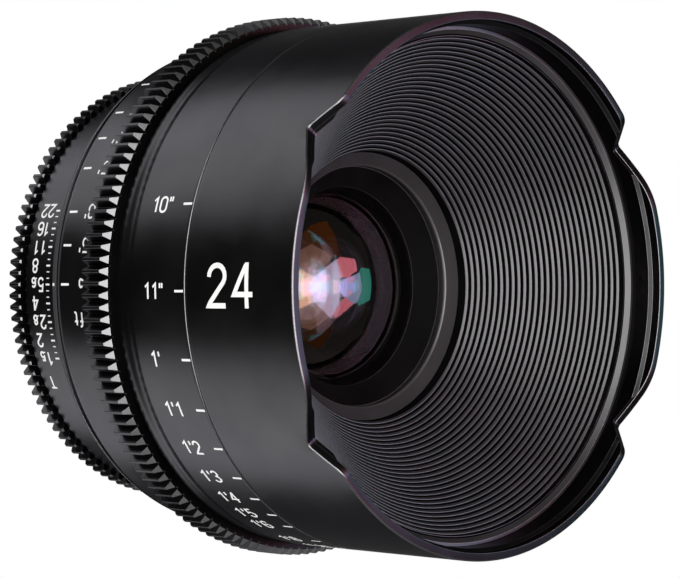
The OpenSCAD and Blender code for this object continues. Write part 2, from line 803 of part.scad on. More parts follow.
module main_barrel() {
    collar_r = sleeve_out_r - collar_step;
    flange_in = front_web_r - flange_lip;
    bore_r = front_cell_r + shoulder + seat_clear;
    color(black) laid() difference() {
        turn_profile([
            [iris_bore_r, z_body], [main_out_r, z_body], [main_out_r, z_collar], [collar_r, z_collar],
            [collar_r, z_seam - main_flange_t], [main_flange_r, z_seam - main_flange_t],
            [main_flange_r, z_seam], [flange_in, z_seam], [bore_r, z_cell + 2*lip_h],
            [bore_r, z_cell - shoulder], [main_bore_r, z_cell - shoulder], [main_bore_r, z_cover_front],
            [iris_bore_r, z_cover_front]]);
        around(front_screw_count, front_screw_circle)
            screw_hole(z_seam - main_flange_t - sink, z_seam + sink);
        for (k = [0:follower_count - 1])
            follower_slot(k);
        swing_slot(drive_pin_r + slot_clear, iris_bore_r - sink, main_out_r + sink, half_throw, z_drive);
    }
}

// Angle and rest height of a cam follower on the helix
function follower_angle(k) = 360*k/follower_count;
function helix_z(angle) = z_helix - focus_lead*angle/360;

// Straight slot that lets a follower slide but not turn
module follower_slot(k) {
    low = helix_z(follower_angle(k));
    for (z = [low, low + focus_travel])
        radial(groove_half, main_bore_r - sink, main_out_r + sink, follower_angle(k), z);
    rotate([0, 0, follower_angle(k)])
        translate([main_bore_r - sink, -groove_half, low])
            cube([main_out_r - main_bore_r + 2*sink, 2*groove_half, focus_travel]);
}

// Focus ring

module focus_ring() {
    bead_r = min(front_r, focus_root_r) - bead_step;
    shoulder_r = bead_r - bead_step;
    z_web_front = z_focus_web + focus_web_t;
    color(black) laid() difference() {
        turn_profile(concat(
            [[sleeve_out_r + seat_clear, z_focus_web], [skirt_bore_r, z_focus_web], [skirt_bore_r, z_skirt],
             [skirt_r - 2*edge_bevel, z_skirt], [skirt_r, z_skirt + 2*edge_bevel], [skirt_r, z_gear],
             [focus_seat_r, z_gear], [focus_seat_r, z_gear_front], [shoulder_r, z_gear_front],
             [shoulder_r, z_gear_front + bead_foot*bead_len]],
            arc([bead_r - bead_round, z_gear_front + bead_middle*bead_len], bead_round,
                bead_first, bead_last, bead_steps),
            [[shoulder_r, z_gear_front + bead_top*bead_len], [shoulder_r, z_band - bead_lead*bead_len],
             [front_r - edge_bevel, z_band], [front_r, z_band + edge_bevel],
             [front_r, z_band_front - edge_bevel - seam_lead],
             [front_r - seam_fall, z_band_front - edge_bevel],
             [front_r - seam_fall - edge_bevel, z_band_front],
             [band_bore_r, z_band_front], [band_bore_r, z_web_front],
             [sleeve_out_r + seat_clear, z_web_front]]));
        around(focus_screw_count, focus_screw_circle) screw_hole(z_focus_web - sink, z_web_front + sink);
    }
}

module focus_gear() {
    color(black) laid() difference() {
        intersection() {
            translate([0, 0, z_gear]) linear_extrude(height = focus_gear_face) gear_outline(focus_teeth,
                focus_tooth_lead);
            gear_envelope(focus_tip_r, z_gear, z_gear_front, iris_gear_bevel, focus_gear_bevel);
        }
        translate([0, 0, z_gear - sink])
            cylinder(r = focus_seat_r + seat_clear, h = focus_gear_face + 2*sink);
    }
}

// Helical groove as a swept rectangle
module helix_cut() {
    inner = sleeve_bore_r - sink;
    stations = [for (i = [0:helix_steps]) helix_first + (helix_last - helix_first)*i/helix_steps];
    points = [for (a = stations, p = [[inner, -1], [groove_r, -1], [groove_r, 1], [inner, 1]])
        [p[0]*cos(a), p[0]*sin(a), helix_z(a) + p[1]*groove_half]];
    sides = [for (i = [0:helix_steps - 1], s = [0:3])
        let (a = 4*i + s, b = 4*i + (s + 1)%4) each [[a, b, a + 4], [b, b + 4, a + 4]]];
    last = 4*helix_steps;
    ends = [[2, 1, 0], [3, 2, 0], [last, last + 1, last + 2], [last, last + 2, last + 3]];
    polyhedron(points = points, faces = concat(sides, ends));
}

module focus_sleeve() {
    lug_out_r = stop_circle + stop_pin_r + stop_lug_rim;
    lug_low = z_sleeve + stop_lug_rim;
    color(brass) laid() difference() {
        union() {
            translate([0, 0, z_sleeve]) cylinder(r = sleeve_out_r, h = z_sleeve_front - z_sleeve);
            translate([0, 0, z_focus_web - sleeve_flange_t])
                cylinder(r = sleeve_flange_r, h = sleeve_flange_t);
            sector(sleeve_out_r - sink, lug_out_r, lug_low, lug_low + stop_lug_t,
                stop_pin_angle + lug_pin_angle, 360 - stop_gap);
        }
        translate([0, 0, z_sleeve - sink])
            cylinder(r = sleeve_bore_r, h = z_sleeve_front - z_sleeve + 2*sink);
        around(focus_screw_count, focus_screw_circle)
            screw_hole(z_focus_web - sleeve_flange_t - sink, z_focus_web + sink);
        helix_cut();
    }
}

module focus_ring_screws() {
    color(steel) laid() around(focus_screw_count, focus_screw_circle)
        screw(z_focus_web - screw_bite, z_focus_web + focus_web_t);
}

module focus_washer_front() {
    color(brass) laid() tube(sleeve_out_r - collar_step, sleeve_bore_r, z_collar - washer_t, z_collar);
}

module focus_washer_rear() {
    color(brass) laid() tube(sleeve_out_r, sleeve_bore_r, z_index_front, z_index_front + washer_t);
}

module focus_stop_pin() {
    low = z_index_front - rear_web_t + ring_gap;
    color(steel) laid() rotate([0, 0, stop_pin_angle])
        translate([stop_circle, 0, low])
            cylinder(r = stop_pin_r, h = z_sleeve + stop_lug_rim + stop_lug_t - ring_gap - low);
}

// Focus carriage

module focus_carriage() {
    holder_r = carriage_glass_r + holder_wall;
    wall_in = carriage_r - carriage_wall;
    z_web = z_carriage + carriage_web_t;
    color(black) laid() difference() {
        turn_profile([
            [carriage_lip_r, z_carriage_lip], [carriage_lip_r, z_carriage + carriage_foot],
            [holder_r, z_carriage], [holder_r, z_web], [wall_in, z_web],
            [wall_in, z_carriage], [carriage_r, z_carriage],
            [carriage_r, z_carriage_front], [wall_in, z_carriage_front], [wall_in, z_web + carriage_web_t],
            [holder_r, z_web + carriage_web_t], [holder_r, z_holder],
            [carriage_glass_r + seat_clear, z_holder],
            [carriage_glass_r + seat_clear, z_carriage_lip]]);
        for (k = [0:follower_count - 1])
            radial(follower_r + seat_clear, wall_in - sink, carriage_r + sink, follower_angle(k),
                helix_z(follower_angle(k)));
    }
}

module fourth_element() {
    color(glass_tint) laid() double_hollow(carriage_glass_r, fourth_front, fourth_front_ball, fourth_clear_r,
        fourth_rear, fourth_rear_ball, fourth_clear_r);
}

module fifth_element() {
    color(glass_tint) laid()
        double_bulge(carriage_glass_r, fifth_front, fifth_front_ball, fifth_rear, fifth_rear_ball);
}

module carriage_spacer() {
    color(matt_black) laid() tube(carriage_glass_r, carriage_spacer_r, z_carriage_spacer, z_fourth_rim);
}

module carriage_retainer() {
    color(matt_black) laid() tube(carriage_glass_r, fourth_clear_r, z_fourth_front_rim, z_holder - end_gap);
}

module cam_followers() {
    color(brass) laid() for (k = [0:follower_count - 1])
        radial(follower_r, follower_in_r, follower_out_r, follower_angle(k), helix_z(follower_angle(k)));
}

// Iris

// Curved slot of the cam ring: a circle's arc through three places of the drive pin
module cam_slot() {
    c = circle_centre(cam_near, cam_mid, cam_far);
    r = norm(cam_near - c);
    a0 = atan2(cam_near[1] - c[1], cam_near[0] - c[0]);
    a1 = atan2(cam_far[1] - c[1], cam_far[0] - c[0]);
    translate([c[0], c[1], 0])
        sector(r - pin_slot_r, r + pin_slot_r, z_cam - sink, z_cam_front + sink, a1, a0 - a1);
    for (p = [cam_near, cam_far])
        translate([p[0], p[1], z_cam - sink]) cylinder(r = pin_slot_r, h = cam_t + 2*sink);
}

module iris_cam_ring() {
    color(brass) laid() difference() {
        tube(cam_out_r, cam_in_r, z_cam, z_cam_front);
        for (k = [0:blade_count - 1])
            rotate([0, 0, 360*k/blade_count]) cam_slot();
        radial(drive_pin_r + seat_clear, drive_in_r, cam_out_r + sink, drive_angle, z_drive);
    }
}

module iris_base() {
    color(matt_black) laid() difference() {
        union() {
            tube(iris_cup_r, open_r + base_lip, z_rear_cell, z_base);
            tube(iris_cup_r, iris_cup_r - iris_cup_wall, z_rear_cell, z_cover);
        }
        around(blade_count, pivot_r)
            translate([0, 0, z_base - pivot_bore_depth])
                cylinder(r = blade_pin_r + run_clear, h = pivot_bore_depth + sink);
        swing_slot(drive_pin_r + slot_clear, cam_out_r - sink, iris_cup_r + sink, half_throw, z_drive);
    }
}

module iris_cover() {
    color(matt_black) laid() tube(iris_cup_r, carriage_glass_r + holder_wall, z_cover, z_cover_front);
}

// A blade's plate, seen along the axis with its pivot at the origin
module blade_outline() {
    translate([-pivot_r, 0])
        intersection() {
            difference() {
                circle(r = blade_out_r);
                circle(r = open_r);
            }
            polygon([[0, 0], for (a = [0:blade_arc/4:blade_arc])
                2*blade_out_r*[cos(a - blade_heel), sin(a - blade_heel)]]);
        }
    translate([-pivot_gap - blade_tab_root, -blade_tab_w/2])
        square([pivot_gap + blade_tab_root, blade_tab_w]);
    circle(r = blade_tab_w/2);
    rotate(-90 - lever_angle/2) {
        translate([0, -lever_w/2]) square([lever_len, lever_w]);
        translate([lever_len, 0]) circle(r = lever_w/2);
    }
}

// A blade at rest, half way through its swing. Each blade lies on a level of its own.
module iris_blade(k) {
    level = z_blades + (k - 1)*blade_pitch;
    pin_low = z_base - pivot_bore_depth + slot_clear;
    color("#2b2b2e") laid()
        rotate([0, 0, 360*(k - 1)/blade_count]) translate([pivot_r, 0, 0]) rotate([0, 0, blade_swing/2]) {
            translate([0, 0, level]) linear_extrude(height = blade_t) blade_outline();
            translate([0, 0, pin_low]) cylinder(r = blade_pin_r, h = level + blade_t + rivet_h - pin_low);
            rotate([0, 0, -90 - lever_angle/2])
                translate([lever_len, 0, level - rivet_h])
                    cylinder(r = blade_pin_r, h = z_cam_front - level + rivet_h);
        }
}

module iris_ring() {
    z_gear_end = z_iris + gear_face;
    color(black) laid() difference() {
        union() {
            intersection() {
                translate([0, 0, z_iris]) linear_extrude(height = gear_face)
                    gear_outline(iris_teeth, iris_tooth_lead);
                gear_envelope(iris_tip_r, z_iris, z_gear_end, edge_bevel, iris_gear_bevel);
            }
            turn_profile([[0, z_gear_end - sink], [iris_scale_r - gear_gutter, z_gear_end - sink],
                [iris_scale_r - gear_gutter, z_gear_end], [iris_scale_r, z_gear_end + gear_gutter/2],
                [iris_scale_r, z_iris_front - edge_bevel], [iris_scale_r - edge_bevel, z_iris_front],
                [0, z_iris_front]]);
        }
        translate([0, 0, z_iris - sink]) cylinder(r = iris_bore, h = iris_ring_len + 2*sink);
        radial(drive_pin_r + seat_clear, iris_bore - sink, drive_out_r + end_gap, drive_angle, z_drive);
    }
}

module iris_drive_pin() {
    color(steel) laid() radial(drive_pin_r, drive_in_r + end_gap, drive_out_r, drive_angle, z_drive);
}

// Rear barrel and index ring

module stop_pin_hole() {
    rotate([0, 0, stop_pin_angle])
        translate([stop_circle, 0, z_index_front - rear_web_t - sink])
            cylinder(r = stop_pin_r + seat_clear, h = rear_web_t + 2*sink);
}

module rear_barrel() {
    wall_in = rear_barrel_r - rear_barrel_wall;
    bore_r = main_out_r + seat_clear;
    color(black) laid() difference() {
        turn_profile([
            [bore_r, z_body], [rear_barrel_r, z_body],
            [rear_barrel_r, z_index_front], [bore_r, z_index_front],
            [bore_r, z_index_front - rear_web_t], [wall_in, z_index_front - rear_web_t],
            [wall_in, z_body + mount_web_t], [bore_r, z_body + mount_web_t]]);
        around(mount_screw_count, mount_screw_circle) screw_hole(z_body - sink, z_body + mount_web_t + sink);
        swing_slot(drive_pin_r + slot_clear, wall_in - sink, rear_barrel_r + sink, half_throw, z_drive);
        stop_pin_hole();
        for (a = index_screw_angles)
            radial(index_screw_r + seat_clear,
                rear_barrel_r - index_screw_bite - end_gap, rear_barrel_r + sink,
                a, z_index + index_w/2);
    }
}

module index_ring() {
    color(black) laid() difference() {
        turn_profile([
            [rear_barrel_r + seat_clear, z_index], [index_r - index_bevel, z_index],
            [index_r, z_index + index_bevel], [index_r, z_index_lip - edge_bevel],
            [index_r - edge_bevel, z_index_lip], [rear_barrel_r + seat_clear, z_index_lip]]);
        stop_pin_hole();
        for (a = index_screw_angles)
            radial(index_screw_r + seat_clear, rear_barrel_r - sink, index_r + sink, a, z_index + index_w/2);
    }
}

module index_screws() {
    low = rear_barrel_r - index_screw_bite;
    color(steel) laid() for (a = index_screw_angles)
        radial(index_screw_r, low, index_r - index_screw_sunk, a, z_index + index_w/2);
}

// Rear group

module rear_cell() {
    tube_r = rear_glass_r + rear_tube_wall;
    wall_in = rear_cell_r - carriage_wall;
    z_web = z_rear_cell - rear_cell_web_t;
    bore = rear_glass_r + seat_clear;
    color(black) laid() turn_profile([
        [bore, z_tube], [tube_r, z_tube], [tube_r, z_web], [wall_in, z_web], [wall_in, z_body],
        [rear_cell_r, z_body], [rear_cell_r, z_rear_cell], [bore, z_rear_cell], [bore, z_rear_lip],
        [rear_hold_r, z_rear_lip], [rear_hold_r, z_seventh_rim], [bore, z_seventh_rim]]);
}

module sixth_element() {
    color(glass_tint) laid()
        double_bulge(rear_glass_r, sixth_front, sixth_front_ball, sixth_rear, sixth_rear_ball);
}

module sixth_retainer() {
    color(matt_black) laid() tube(rear_glass_r, rear_hold_r, z_sixth_hold, z_rear_cell - base_floor);
}

module seventh_element() {
    color(glass_tint) laid() double_hollow(rear_glass_r, seventh_front, seventh_front_ball, seventh_clear_r,
        seventh_rear, cement_ball, rear_glass_r - seat_narrow);
}

module eighth_element() {
    color(glass_tint) laid()
        double_bulge(rear_glass_r, eighth_front, cement_ball, eighth_rear, eighth_rear_ball);
}

module eighth_spacer() {
    color(matt_black) laid() tube(rear_glass_r, rear_hold_r, z_ninth_rim, z_eighth_hold);
}

module ninth_element() {
    color(glass_tint) laid()
        rear_bulge(rear_glass_r, ninth_front, ninth_ball, seventh_clear_r, ninth_rear, ninth_rear_ball);
}

module ninth_spacer() {
    color(matt_black) laid() tube(rear_glass_r, rear_hold_r, z_tenth_hold, z_ninth_hold);
}

module tenth_element() {
    color(glass_tint) laid()
        double_bulge(rear_glass_r, tenth_front, tenth_front_ball, tenth_rear, tenth_rear_ball);
}

module rear_retainer() {
    color(matt_black) laid() tube(rear_glass_r, rear_hold_r, z_tube, z_tenth_rear_hold);
}

// Mount

module rear_baffle() {
    outer = mount_bore_r + mount_seat_step - end_gap;
    color(matt_black) laid() tube(outer, rear_glass_r + retainer_inset, z_tube - rear_baffle_t, z_tube);
}

module mount_flange() {
    seat_r = mount_bore_r + mount_seat_step;
    color(steel) laid() difference() {
        union() {
            turn_profile([
                [0, z_pilot], [pilot_r - pilot_bevel, z_pilot], [pilot_r, z_pilot + pilot_bevel],
                [pilot_r, 0], [neck_r, 0], [neck_r, z_plate],
                [plate_r, z_plate], [plate_r, z_shim], [0, z_shim]]);
            difference() {
                for (a = [0:90:270])
                    sector(neck_r - sink, lug_d/2, 0, lug_t, a - lug_arc/2, lug_arc);
                translate([lug_d/2 - locating_notch_depth, -locating_notch_w/2, -sink])
                    cube([locating_notch_depth + sink, locating_notch_w, lug_t + 2*sink]);
            }
        }
        translate([0, 0, z_pilot - sink]) cylinder(r = mount_bore_r, h = z_shim - z_pilot + 2*sink);
        translate([0, 0, z_pilot - sink]) cylinder(r = seat_r, h = z_tube - z_pilot + sink);
        around(mount_screw_count, mount_screw_circle) {
            screw_hole(z_plate - sink, z_shim + sink);
            translate([0, 0, z_plate - sink]) cylinder(r = head_r + seat_clear, h = head_h + sink);
        }
    }
}

module mount_shim() {
    color(brass) laid() difference() {
        tube(rear_barrel_r - 2*end_gap, mount_bore_r + mount_seat_step, z_shim, z_body);
        around(mount_screw_count, mount_screw_circle) screw_hole(z_shim - sink, z_body + sink);
    }
}

module mount_screws() {
    head = z_plate + head_h;
    color(steel) laid() around(mount_screw_count, mount_screw_circle)
        translate([0, 0, head]) mirror([0, 0, 1]) screw(head - z_body - mount_screw_bite, 0);
}

front_barrel();
front_baffle();
front_retainer();
front_cell();
front_element();
second_element();
second_spacer();
third_element();
third_retainer();
front_barrel_screws();
main_barrel();
focus_ring();
focus_gear();
focus_sleeve();
focus_ring_screws();
focus_washer_front();
focus_washer_rear();
focus_stop_pin();
focus_carriage();
fourth_element();
fifth_element();
carriage_spacer();
carriage_retainer();
cam_followers();
iris_ring();
iris_drive_pin();
iris_cam_ring();
iris_base();
iris_cover();
rear_barrel();
index_ring();
index_screws();
rear_cell();
sixth_element();
sixth_retainer();
seventh_element();
eighth_element();
eighth_spacer();
ninth_element();
ninth_spacer();
tenth_element();
rear_retainer();
rear_baffle();
mount_flange();
mount_shim();
mount_screws();
for (k = [1:blade_count])
    iris_blade(k);
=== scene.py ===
import math

import bmesh
import bpy
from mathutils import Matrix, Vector


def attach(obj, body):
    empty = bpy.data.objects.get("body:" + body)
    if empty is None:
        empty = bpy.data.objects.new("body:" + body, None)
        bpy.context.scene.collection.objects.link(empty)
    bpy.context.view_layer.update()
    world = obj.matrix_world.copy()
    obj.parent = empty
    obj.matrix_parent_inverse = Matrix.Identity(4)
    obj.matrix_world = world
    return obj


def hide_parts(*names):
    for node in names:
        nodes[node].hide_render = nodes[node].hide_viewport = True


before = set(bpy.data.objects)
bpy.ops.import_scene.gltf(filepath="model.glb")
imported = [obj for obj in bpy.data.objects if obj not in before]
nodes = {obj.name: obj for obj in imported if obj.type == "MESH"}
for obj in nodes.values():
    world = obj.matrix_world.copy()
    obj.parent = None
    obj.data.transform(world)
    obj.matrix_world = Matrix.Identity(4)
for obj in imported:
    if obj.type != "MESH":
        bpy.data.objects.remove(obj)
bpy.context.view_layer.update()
scene = bpy.context.scene
scene.view_settings.view_transform = "Standard"

# Sizes of the lens in mm, as in the part's source but for a few edges that follow the photo more closely.
# A station z runs forwards along the axis from the flange.
MM = 0.001
Z_RIM, Z_SEAM, Z_RIDGE, Z_LEDGE, Z_HOLE, Z_CELL = 110.0, 78.7, 103.0, 102.0, 71.6, 70.0
Z_BAND, Z_BAND_FRONT, Z_GEAR, Z_GEAR_FRONT, Z_SKIRT = 61.9, 78.4, 48.6, 55.8, 34.0
Z_WEB, Z_WEB_FRONT, Z_RETAINER = 50.0, 54.0, 65.91
Z_IRIS, Z_IRIS_FRONT, Z_INDEX, Z_INDEX_FRONT = 9.8, 30.2, 30.5, 33.3
FRONT_R, HOOD_BORE, RIM_T, SKIRT_R, SCALE_R, INDEX_R = 57.0, 54.4, 1.8, 54.6, 47.4, 54.2
SEAM_LEAD, SEAM_FALL, SEAM_ROUND = 0.5, 0.04, 0.25
BARREL_BORE, BARREL_WEB, FOCUS_BORE, FOCUS_WALL, SKIRT_WALL = 39.59, 3.5, 38.48, 3.0, 2.6
REAR_BORE, GEAR_SEAT, GEAR_BORE, INDEX_FALL = 44.05, 55.5, 55.55, 0.42
RETAINER_BORE, RETAINER_R = 21.6, 28.0
HOLE_R, RIDGE_R, LIP_W, GROOVES, GROOVE_DEPTH = 26.2, 53.6, 2.8, 27, 0.77
CONE_SLOPE = (Z_RIDGE - Z_HOLE)/(RIDGE_R - HOLE_R)
GROOVE_WALL, GROOVE_WIDTH, BAFFLE_WALL, LIP_SLOPE = 0.04, 0.38, 1.8, 0.6
NOTCH_ANGLE, NOTCH_DEPTH, NOTCH_REACH, NOTCH_STEPS = math.radians(33.3), 5.6, 0.32, 8
FOCUS_TEETH, FOCUS_TIP, IRIS_TEETH, IRIS_TIP, TOOTH_H = 147, 59.6, 120, 48.8, 1.8
TOOTH_ROOT, TOOTH_TIP = 0.46, 0.12
FOCUS_LEAD, IRIS_LEAD, IRIS_FACE = 0.28, 0.85, 3.8
TOOTH_BEVEL = 0.00009

TURN_STEPS, GLASS_STEPS, FACE_STEPS = 360, 180, 40
ROUND_STEPS, NOTCH_ROUND_STEPS = 4, 24
SHARP, TOOTH_SHARP = math.radians(34), math.radians(25)


# Mesh helpers

def place(r, angle, z):
    """A point at a radius, an angle round the axis and a station."""
    return Vector((r*math.cos(angle), -z, r*math.sin(angle)))*MM


def rounded(points):
    """Rounds the corners of an outline. A point is (r, z) or (r, z, radius). Gives (r, z, edge)."""
    out = []
    for i, p in enumerate(points):
        at = Vector(p[:2])
        if len(p) < 3:
            out.append((at.x, at.y, 0.0))
            continue
        a = Vector(points[i - 1][:2]) - at
        b = Vector(points[(i + 1) % len(points)][:2]) - at
        half = a.angle(b)/2
        cut = min(p[2]/math.tan(half), 0.45*a.length, 0.45*b.length)
        radius = cut*math.tan(half)
        middle = at + (a.normalized() + b.normalized()).normalized()*(cut/math.cos(half))
        first = at + a.normalized()*cut - middle
        last = at + b.normalized()*cut - middle
        for k in range(ROUND_STEPS + 1):
            t = k/ROUND_STEPS
            v = middle + (first*(1 - t) + last*t).normalized()*radius
            out.append((v.x, v.y, 1.0 - abs(2*t - 1)**4))
    return out


def finish_mesh(name, verts, faces, edge, body, material, node=None, weighted=True):
    """Makes a closed mesh into a piece of the lens that rides on a body."""
    mesh = bpy.data.meshes.new(name)
    mesh.from_pydata(verts, [], faces)
    if edge:
        mesh.attributes.new("edge", "FLOAT", "POINT").data.foreach_set("value", edge)
    work = bmesh.new()
    work.from_mesh(mesh)
    bmesh.ops.recalc_face_normals(work, faces=work.faces)
    work.to_mesh(mesh)
    work.free()
    mesh.shade_smooth()
    mesh.set_sharp_from_angle(angle=SHARP)
    piece = bpy.data.objects.new(name, mesh)
    scene.collection.objects.link(piece)
    mesh.materials.append(material)
    if weighted:
        normals = piece.modifiers.new("normals", "WEIGHTED_NORMAL")
        normals.keep_sharp = True
    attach(piece, body)
    if node:
        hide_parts(node)
    return piece


def rows_to_faces(rows, columns):
    """Faces between the rows of a closed ring."""
    return [(i*columns + j, i*columns + (j + 1) % columns,
             (i + 1) % rows*columns + (j + 1) % columns, (i + 1) % rows*columns + j)
            for i in range(rows) for j in range(columns)]


def even_angles(count=TURN_STEPS):
    return [2*math.pi*i/count for i in range(count)]


def turned(name, outline, body, material, node=None, angles=None, height=None):
    """A ring turned from a closed outline. height(r, z, angle) may lower a point."""
    angles = angles or even_angles()
    points = rounded(outline)
    verts = [place(r, a, height(r, z, a) if height else z) for r, z, _ in points for a in angles]
    edge = [e for _, _, e in points for _ in angles]
    return finish_mesh(name, verts, rows_to_faces(len(points), len(angles)), edge, body, material, node)


def solid_turned(name, outline, body, material, node=None):
    """A solid turned from an outline that starts and ends on the axis."""
    angles = even_angles(GLASS_STEPS)
    n = len(angles)
    inner = outline[1:-1]
    verts = [place(0, 0, outline[0][1])] + [place(r, a, z) for r, z in inner for a in angles]
    verts.append(place(0, 0, outline[-1][1]))
    last = len(verts) - 1
    faces = [(0, 1 + j, 1 + (j + 1) % n) for j in range(n)]
    for i in range(len(inner) - 1):
        faces += [(1 + i*n + j, 1 + i*n + (j + 1) % n, 1 + (i + 1)*n + (j + 1) % n, 1 + (i + 1)*n + j)
                  for j in range(n)]
    top = 1 + (len(inner) - 1)*n
    faces += [(last, top + (j + 1) % n, top + j) for j in range(n)]
    return finish_mesh(name, verts, faces, None, body, material, node, weighted=False)


def tooth_row(teeth, lead, tip, root, limit, z):
    """One loop round a gear, its teeth cut down to a limit radius."""
    row = []
    for i in range(teeth):
        for side, r in ((-1, root), (-1, tip), (1, tip), (1, root)):
            r = min(r, limit)
            share = TOOTH_ROOT - (TOOTH_ROOT - TOOTH_TIP)*max(0.0, (r - root)/(tip - root))
            row.append(place(r, 2*math.pi*(i + lead + side*share)/teeth, z))
    return row


# Materials

def node_of(tree, kind, **inputs):
    """A shader node with values on its inputs. An underscore stands for a space."""
    made = tree.nodes.new(kind)
    for key, value in inputs.items():
        made.inputs[key.replace("_", " ")].default_value = value
    return made


def surface(name, dark, light, rough, metallic=0.0, grain=6000.0, bump=0.05, wear_and_highlight=None, tint=None,
            turning=0.0, specular=0.5):
    """A painted, anodised or machined finish: two shades mixed by noise, uneven roughness, a fine grain, and
    optionally turning marks round the axis and lighter rounded edges, partly rubbed edges and partly a painted
    edge highlight."""
    material = bpy.data.materials.new(name)
    material.use_nodes = True
    tree = material.node_tree
    shader = tree.nodes["Principled BSDF"]
    shader.inputs["Metallic"].default_value = metallic
    shader.inputs["Specular IOR Level"].default_value = specular
    if tint:
        shader.inputs["Specular Tint"].default_value = (*tint, 1)
    where = tree.nodes.new("ShaderNodeTexCoord")
    link = tree.links.new

    broad = node_of(tree, "ShaderNodeTexNoise", Scale=90.0, Detail=4.0)
    link(where.outputs["Object"], broad.inputs["Vector"])
    fine = node_of(tree, "ShaderNodeTexNoise", Scale=grain, Detail=2.0)
    link(where.outputs["Object"], fine.inputs["Vector"])

    shade = node_of(tree, "ShaderNodeValToRGB")
    shade.color_ramp.elements[0].position, shade.color_ramp.elements[1].position = 0.35, 0.65
    shade.color_ramp.elements[0].color = (*dark, 1)
    shade.color_ramp.elements[1].color = (*light, 1)
    link(broad.outputs["Fac"], shade.inputs["Fac"])
    colour = shade.outputs["Color"]
    # Rounded edges turn lighter: partly rubbed edges, partly a painted highlight along them
    if wear_and_highlight:
        edge = tree.nodes.new("ShaderNodeAttribute")
        edge.attribute_name = "edge"
        share = tree.nodes.new("ShaderNodeMath")
        share.operation = "MULTIPLY"
        link(edge.outputs["Fac"], share.inputs[0])
        link(fine.outputs["Fac"], share.inputs[1])
        worn_and_lit = tree.nodes.new("ShaderNodeMix")
        worn_and_lit.data_type = "RGBA"
        link(share.outputs[0], worn_and_lit.inputs["Factor"])
        link(colour, worn_and_lit.inputs["A"])
        worn_and_lit.inputs["B"].default_value = (*wear_and_highlight, 1)
        colour = worn_and_lit.outputs["Result"]
    link(colour, shader.inputs["Base Color"])

    gloss = node_of(tree, "ShaderNodeMapRange", From_Min=0.3, From_Max=0.7, To_Min=rough[0], To_Max=rough[1])
    link(broad.outputs["Fac"], gloss.inputs["Value"])
    link(gloss.outputs["Result"], shader.inputs["Roughness"])

    relief = fine.outputs["Fac"]
    if turning:
        lathe = node_of(tree, "ShaderNodeTexNoise", Scale=turning, Detail=1.0)
        lathe.noise_dimensions = "1D"
        split = tree.nodes.new("ShaderNodeSeparateXYZ")
        link(where.outputs["Object"], split.inputs["Vector"])
        link(split.outputs["Y"], lathe.inputs["W"])
        total = tree.nodes.new("ShaderNodeMath")
        total.operation = "ADD"
        link(relief, total.inputs[0])
        link(lathe.outputs["Fac"], total.inputs[1])
        relief = total.outputs[0]
    raised = node_of(tree, "ShaderNodeBump", Strength=bump, Distance=0.0001)
    link(relief, raised.inputs["Height"])
    link(raised.outputs["Normal"], shader.inputs["Normal"])
    return material


def glass(name, tint, ior, reflect):
    """Coated optical glass: clear, with a coloured reflection and a faint unevenness of the coating."""
    material = bpy.data.materials.new(name)
    material.use_nodes = True
    tree = material.node_tree
    shader = tree.nodes["Principled BSDF"]
    shader.inputs["Transmission Weight"].default_value = 1.0
    shader.inputs["IOR"].default_value = ior
    shader.inputs["Specular IOR Level"].default_value = reflect
    shader.inputs["Specular Tint"].default_value = (*tint, 1)
    where = tree.nodes.new("ShaderNodeTexCoord")
    cloud = node_of(tree, "ShaderNodeTexNoise", Scale=60.0, Detail=2.0)
    tree.links.new(where.outputs["Object"], cloud.inputs["Vector"])
    clear = node_of(tree, "ShaderNodeValToRGB")
    clear.color_ramp.elements[0].color = (0.94, 0.96, 0.95, 1)
    clear.color_ramp.elements[1].color = (0.99, 0.99, 0.98, 1)
    tree.links.new(cloud.outputs["Fac"], clear.inputs["Fac"])
    tree.links.new(clear.outputs["Color"], shader.inputs["Base Color"])
    gloss = node_of(tree, "ShaderNodeMapRange", To_Min=0.0, To_Max=0.02)
    tree.links.new(cloud.outputs["Fac"], gloss.inputs["Value"])
    tree.links.new(gloss.outputs["Result"], shader.inputs["Roughness"])
    return material


# The lighter edge colours of these finishes are partly rubbed edges and partly a painted highlight along the
# rounded edges
ANODISED = surface("satin_anodised", (0.020, 0.020, 0.021), (0.026, 0.026, 0.027), (0.27, 0.33), metallic=1.0,
                   wear_and_highlight=(0.3, 0.3, 0.31), tint=(0.6, 0.6, 0.62), bump=0.04, turning=5000.0)
GEAR_BLACK = surface("gear_black", (0.020, 0.020, 0.021), (0.028, 0.028, 0.029), (0.3, 0.36), metallic=1.0,
                     tint=(0.6, 0.6, 0.62), bump=0.04)
# A lighter metal for the front bevels of the gear teeth, a painted highlight
BEVEL_HIGHLIGHT = surface("bevel_painted_highlight", (0.20, 0.20, 0.205), (0.25, 0.25, 0.255), (0.3, 0.38), metallic=1.0,
                 bump=0.04)
BAFFLE = surface("baffle_black", (0.006, 0.006, 0.0065), (0.009, 0.009, 0.0095), (0.36, 0.43),
                 wear_and_highlight=(0.05, 0.05, 0.05), bump=0.03, specular=1.0)
LIP = surface("lip_black", (0.014, 0.014, 0.0145), (0.019, 0.019, 0.0195), (0.6, 0.7), bump=0.03,
              specular=0.12)
MATT = surface("matt_anodised", (0.0015, 0.0015, 0.0015), (0.003, 0.003, 0.003), (0.6, 0.75), bump=0.08,
               specular=0.03, wear_and_highlight=(0.12, 0.12, 0.12))
INK = surface("edge_ink", (0.0006, 0.0006, 0.0006), (0.0012, 0.0012, 0.0012), (0.8, 0.9), bump=0.02,
              specular=0.0)
STEEL = surface("bright_steel", (0.56, 0.56, 0.55), (0.66, 0.66, 0.65), (0.24, 0.34), metallic=1.0, bump=0.03,
                turning=9000.0)
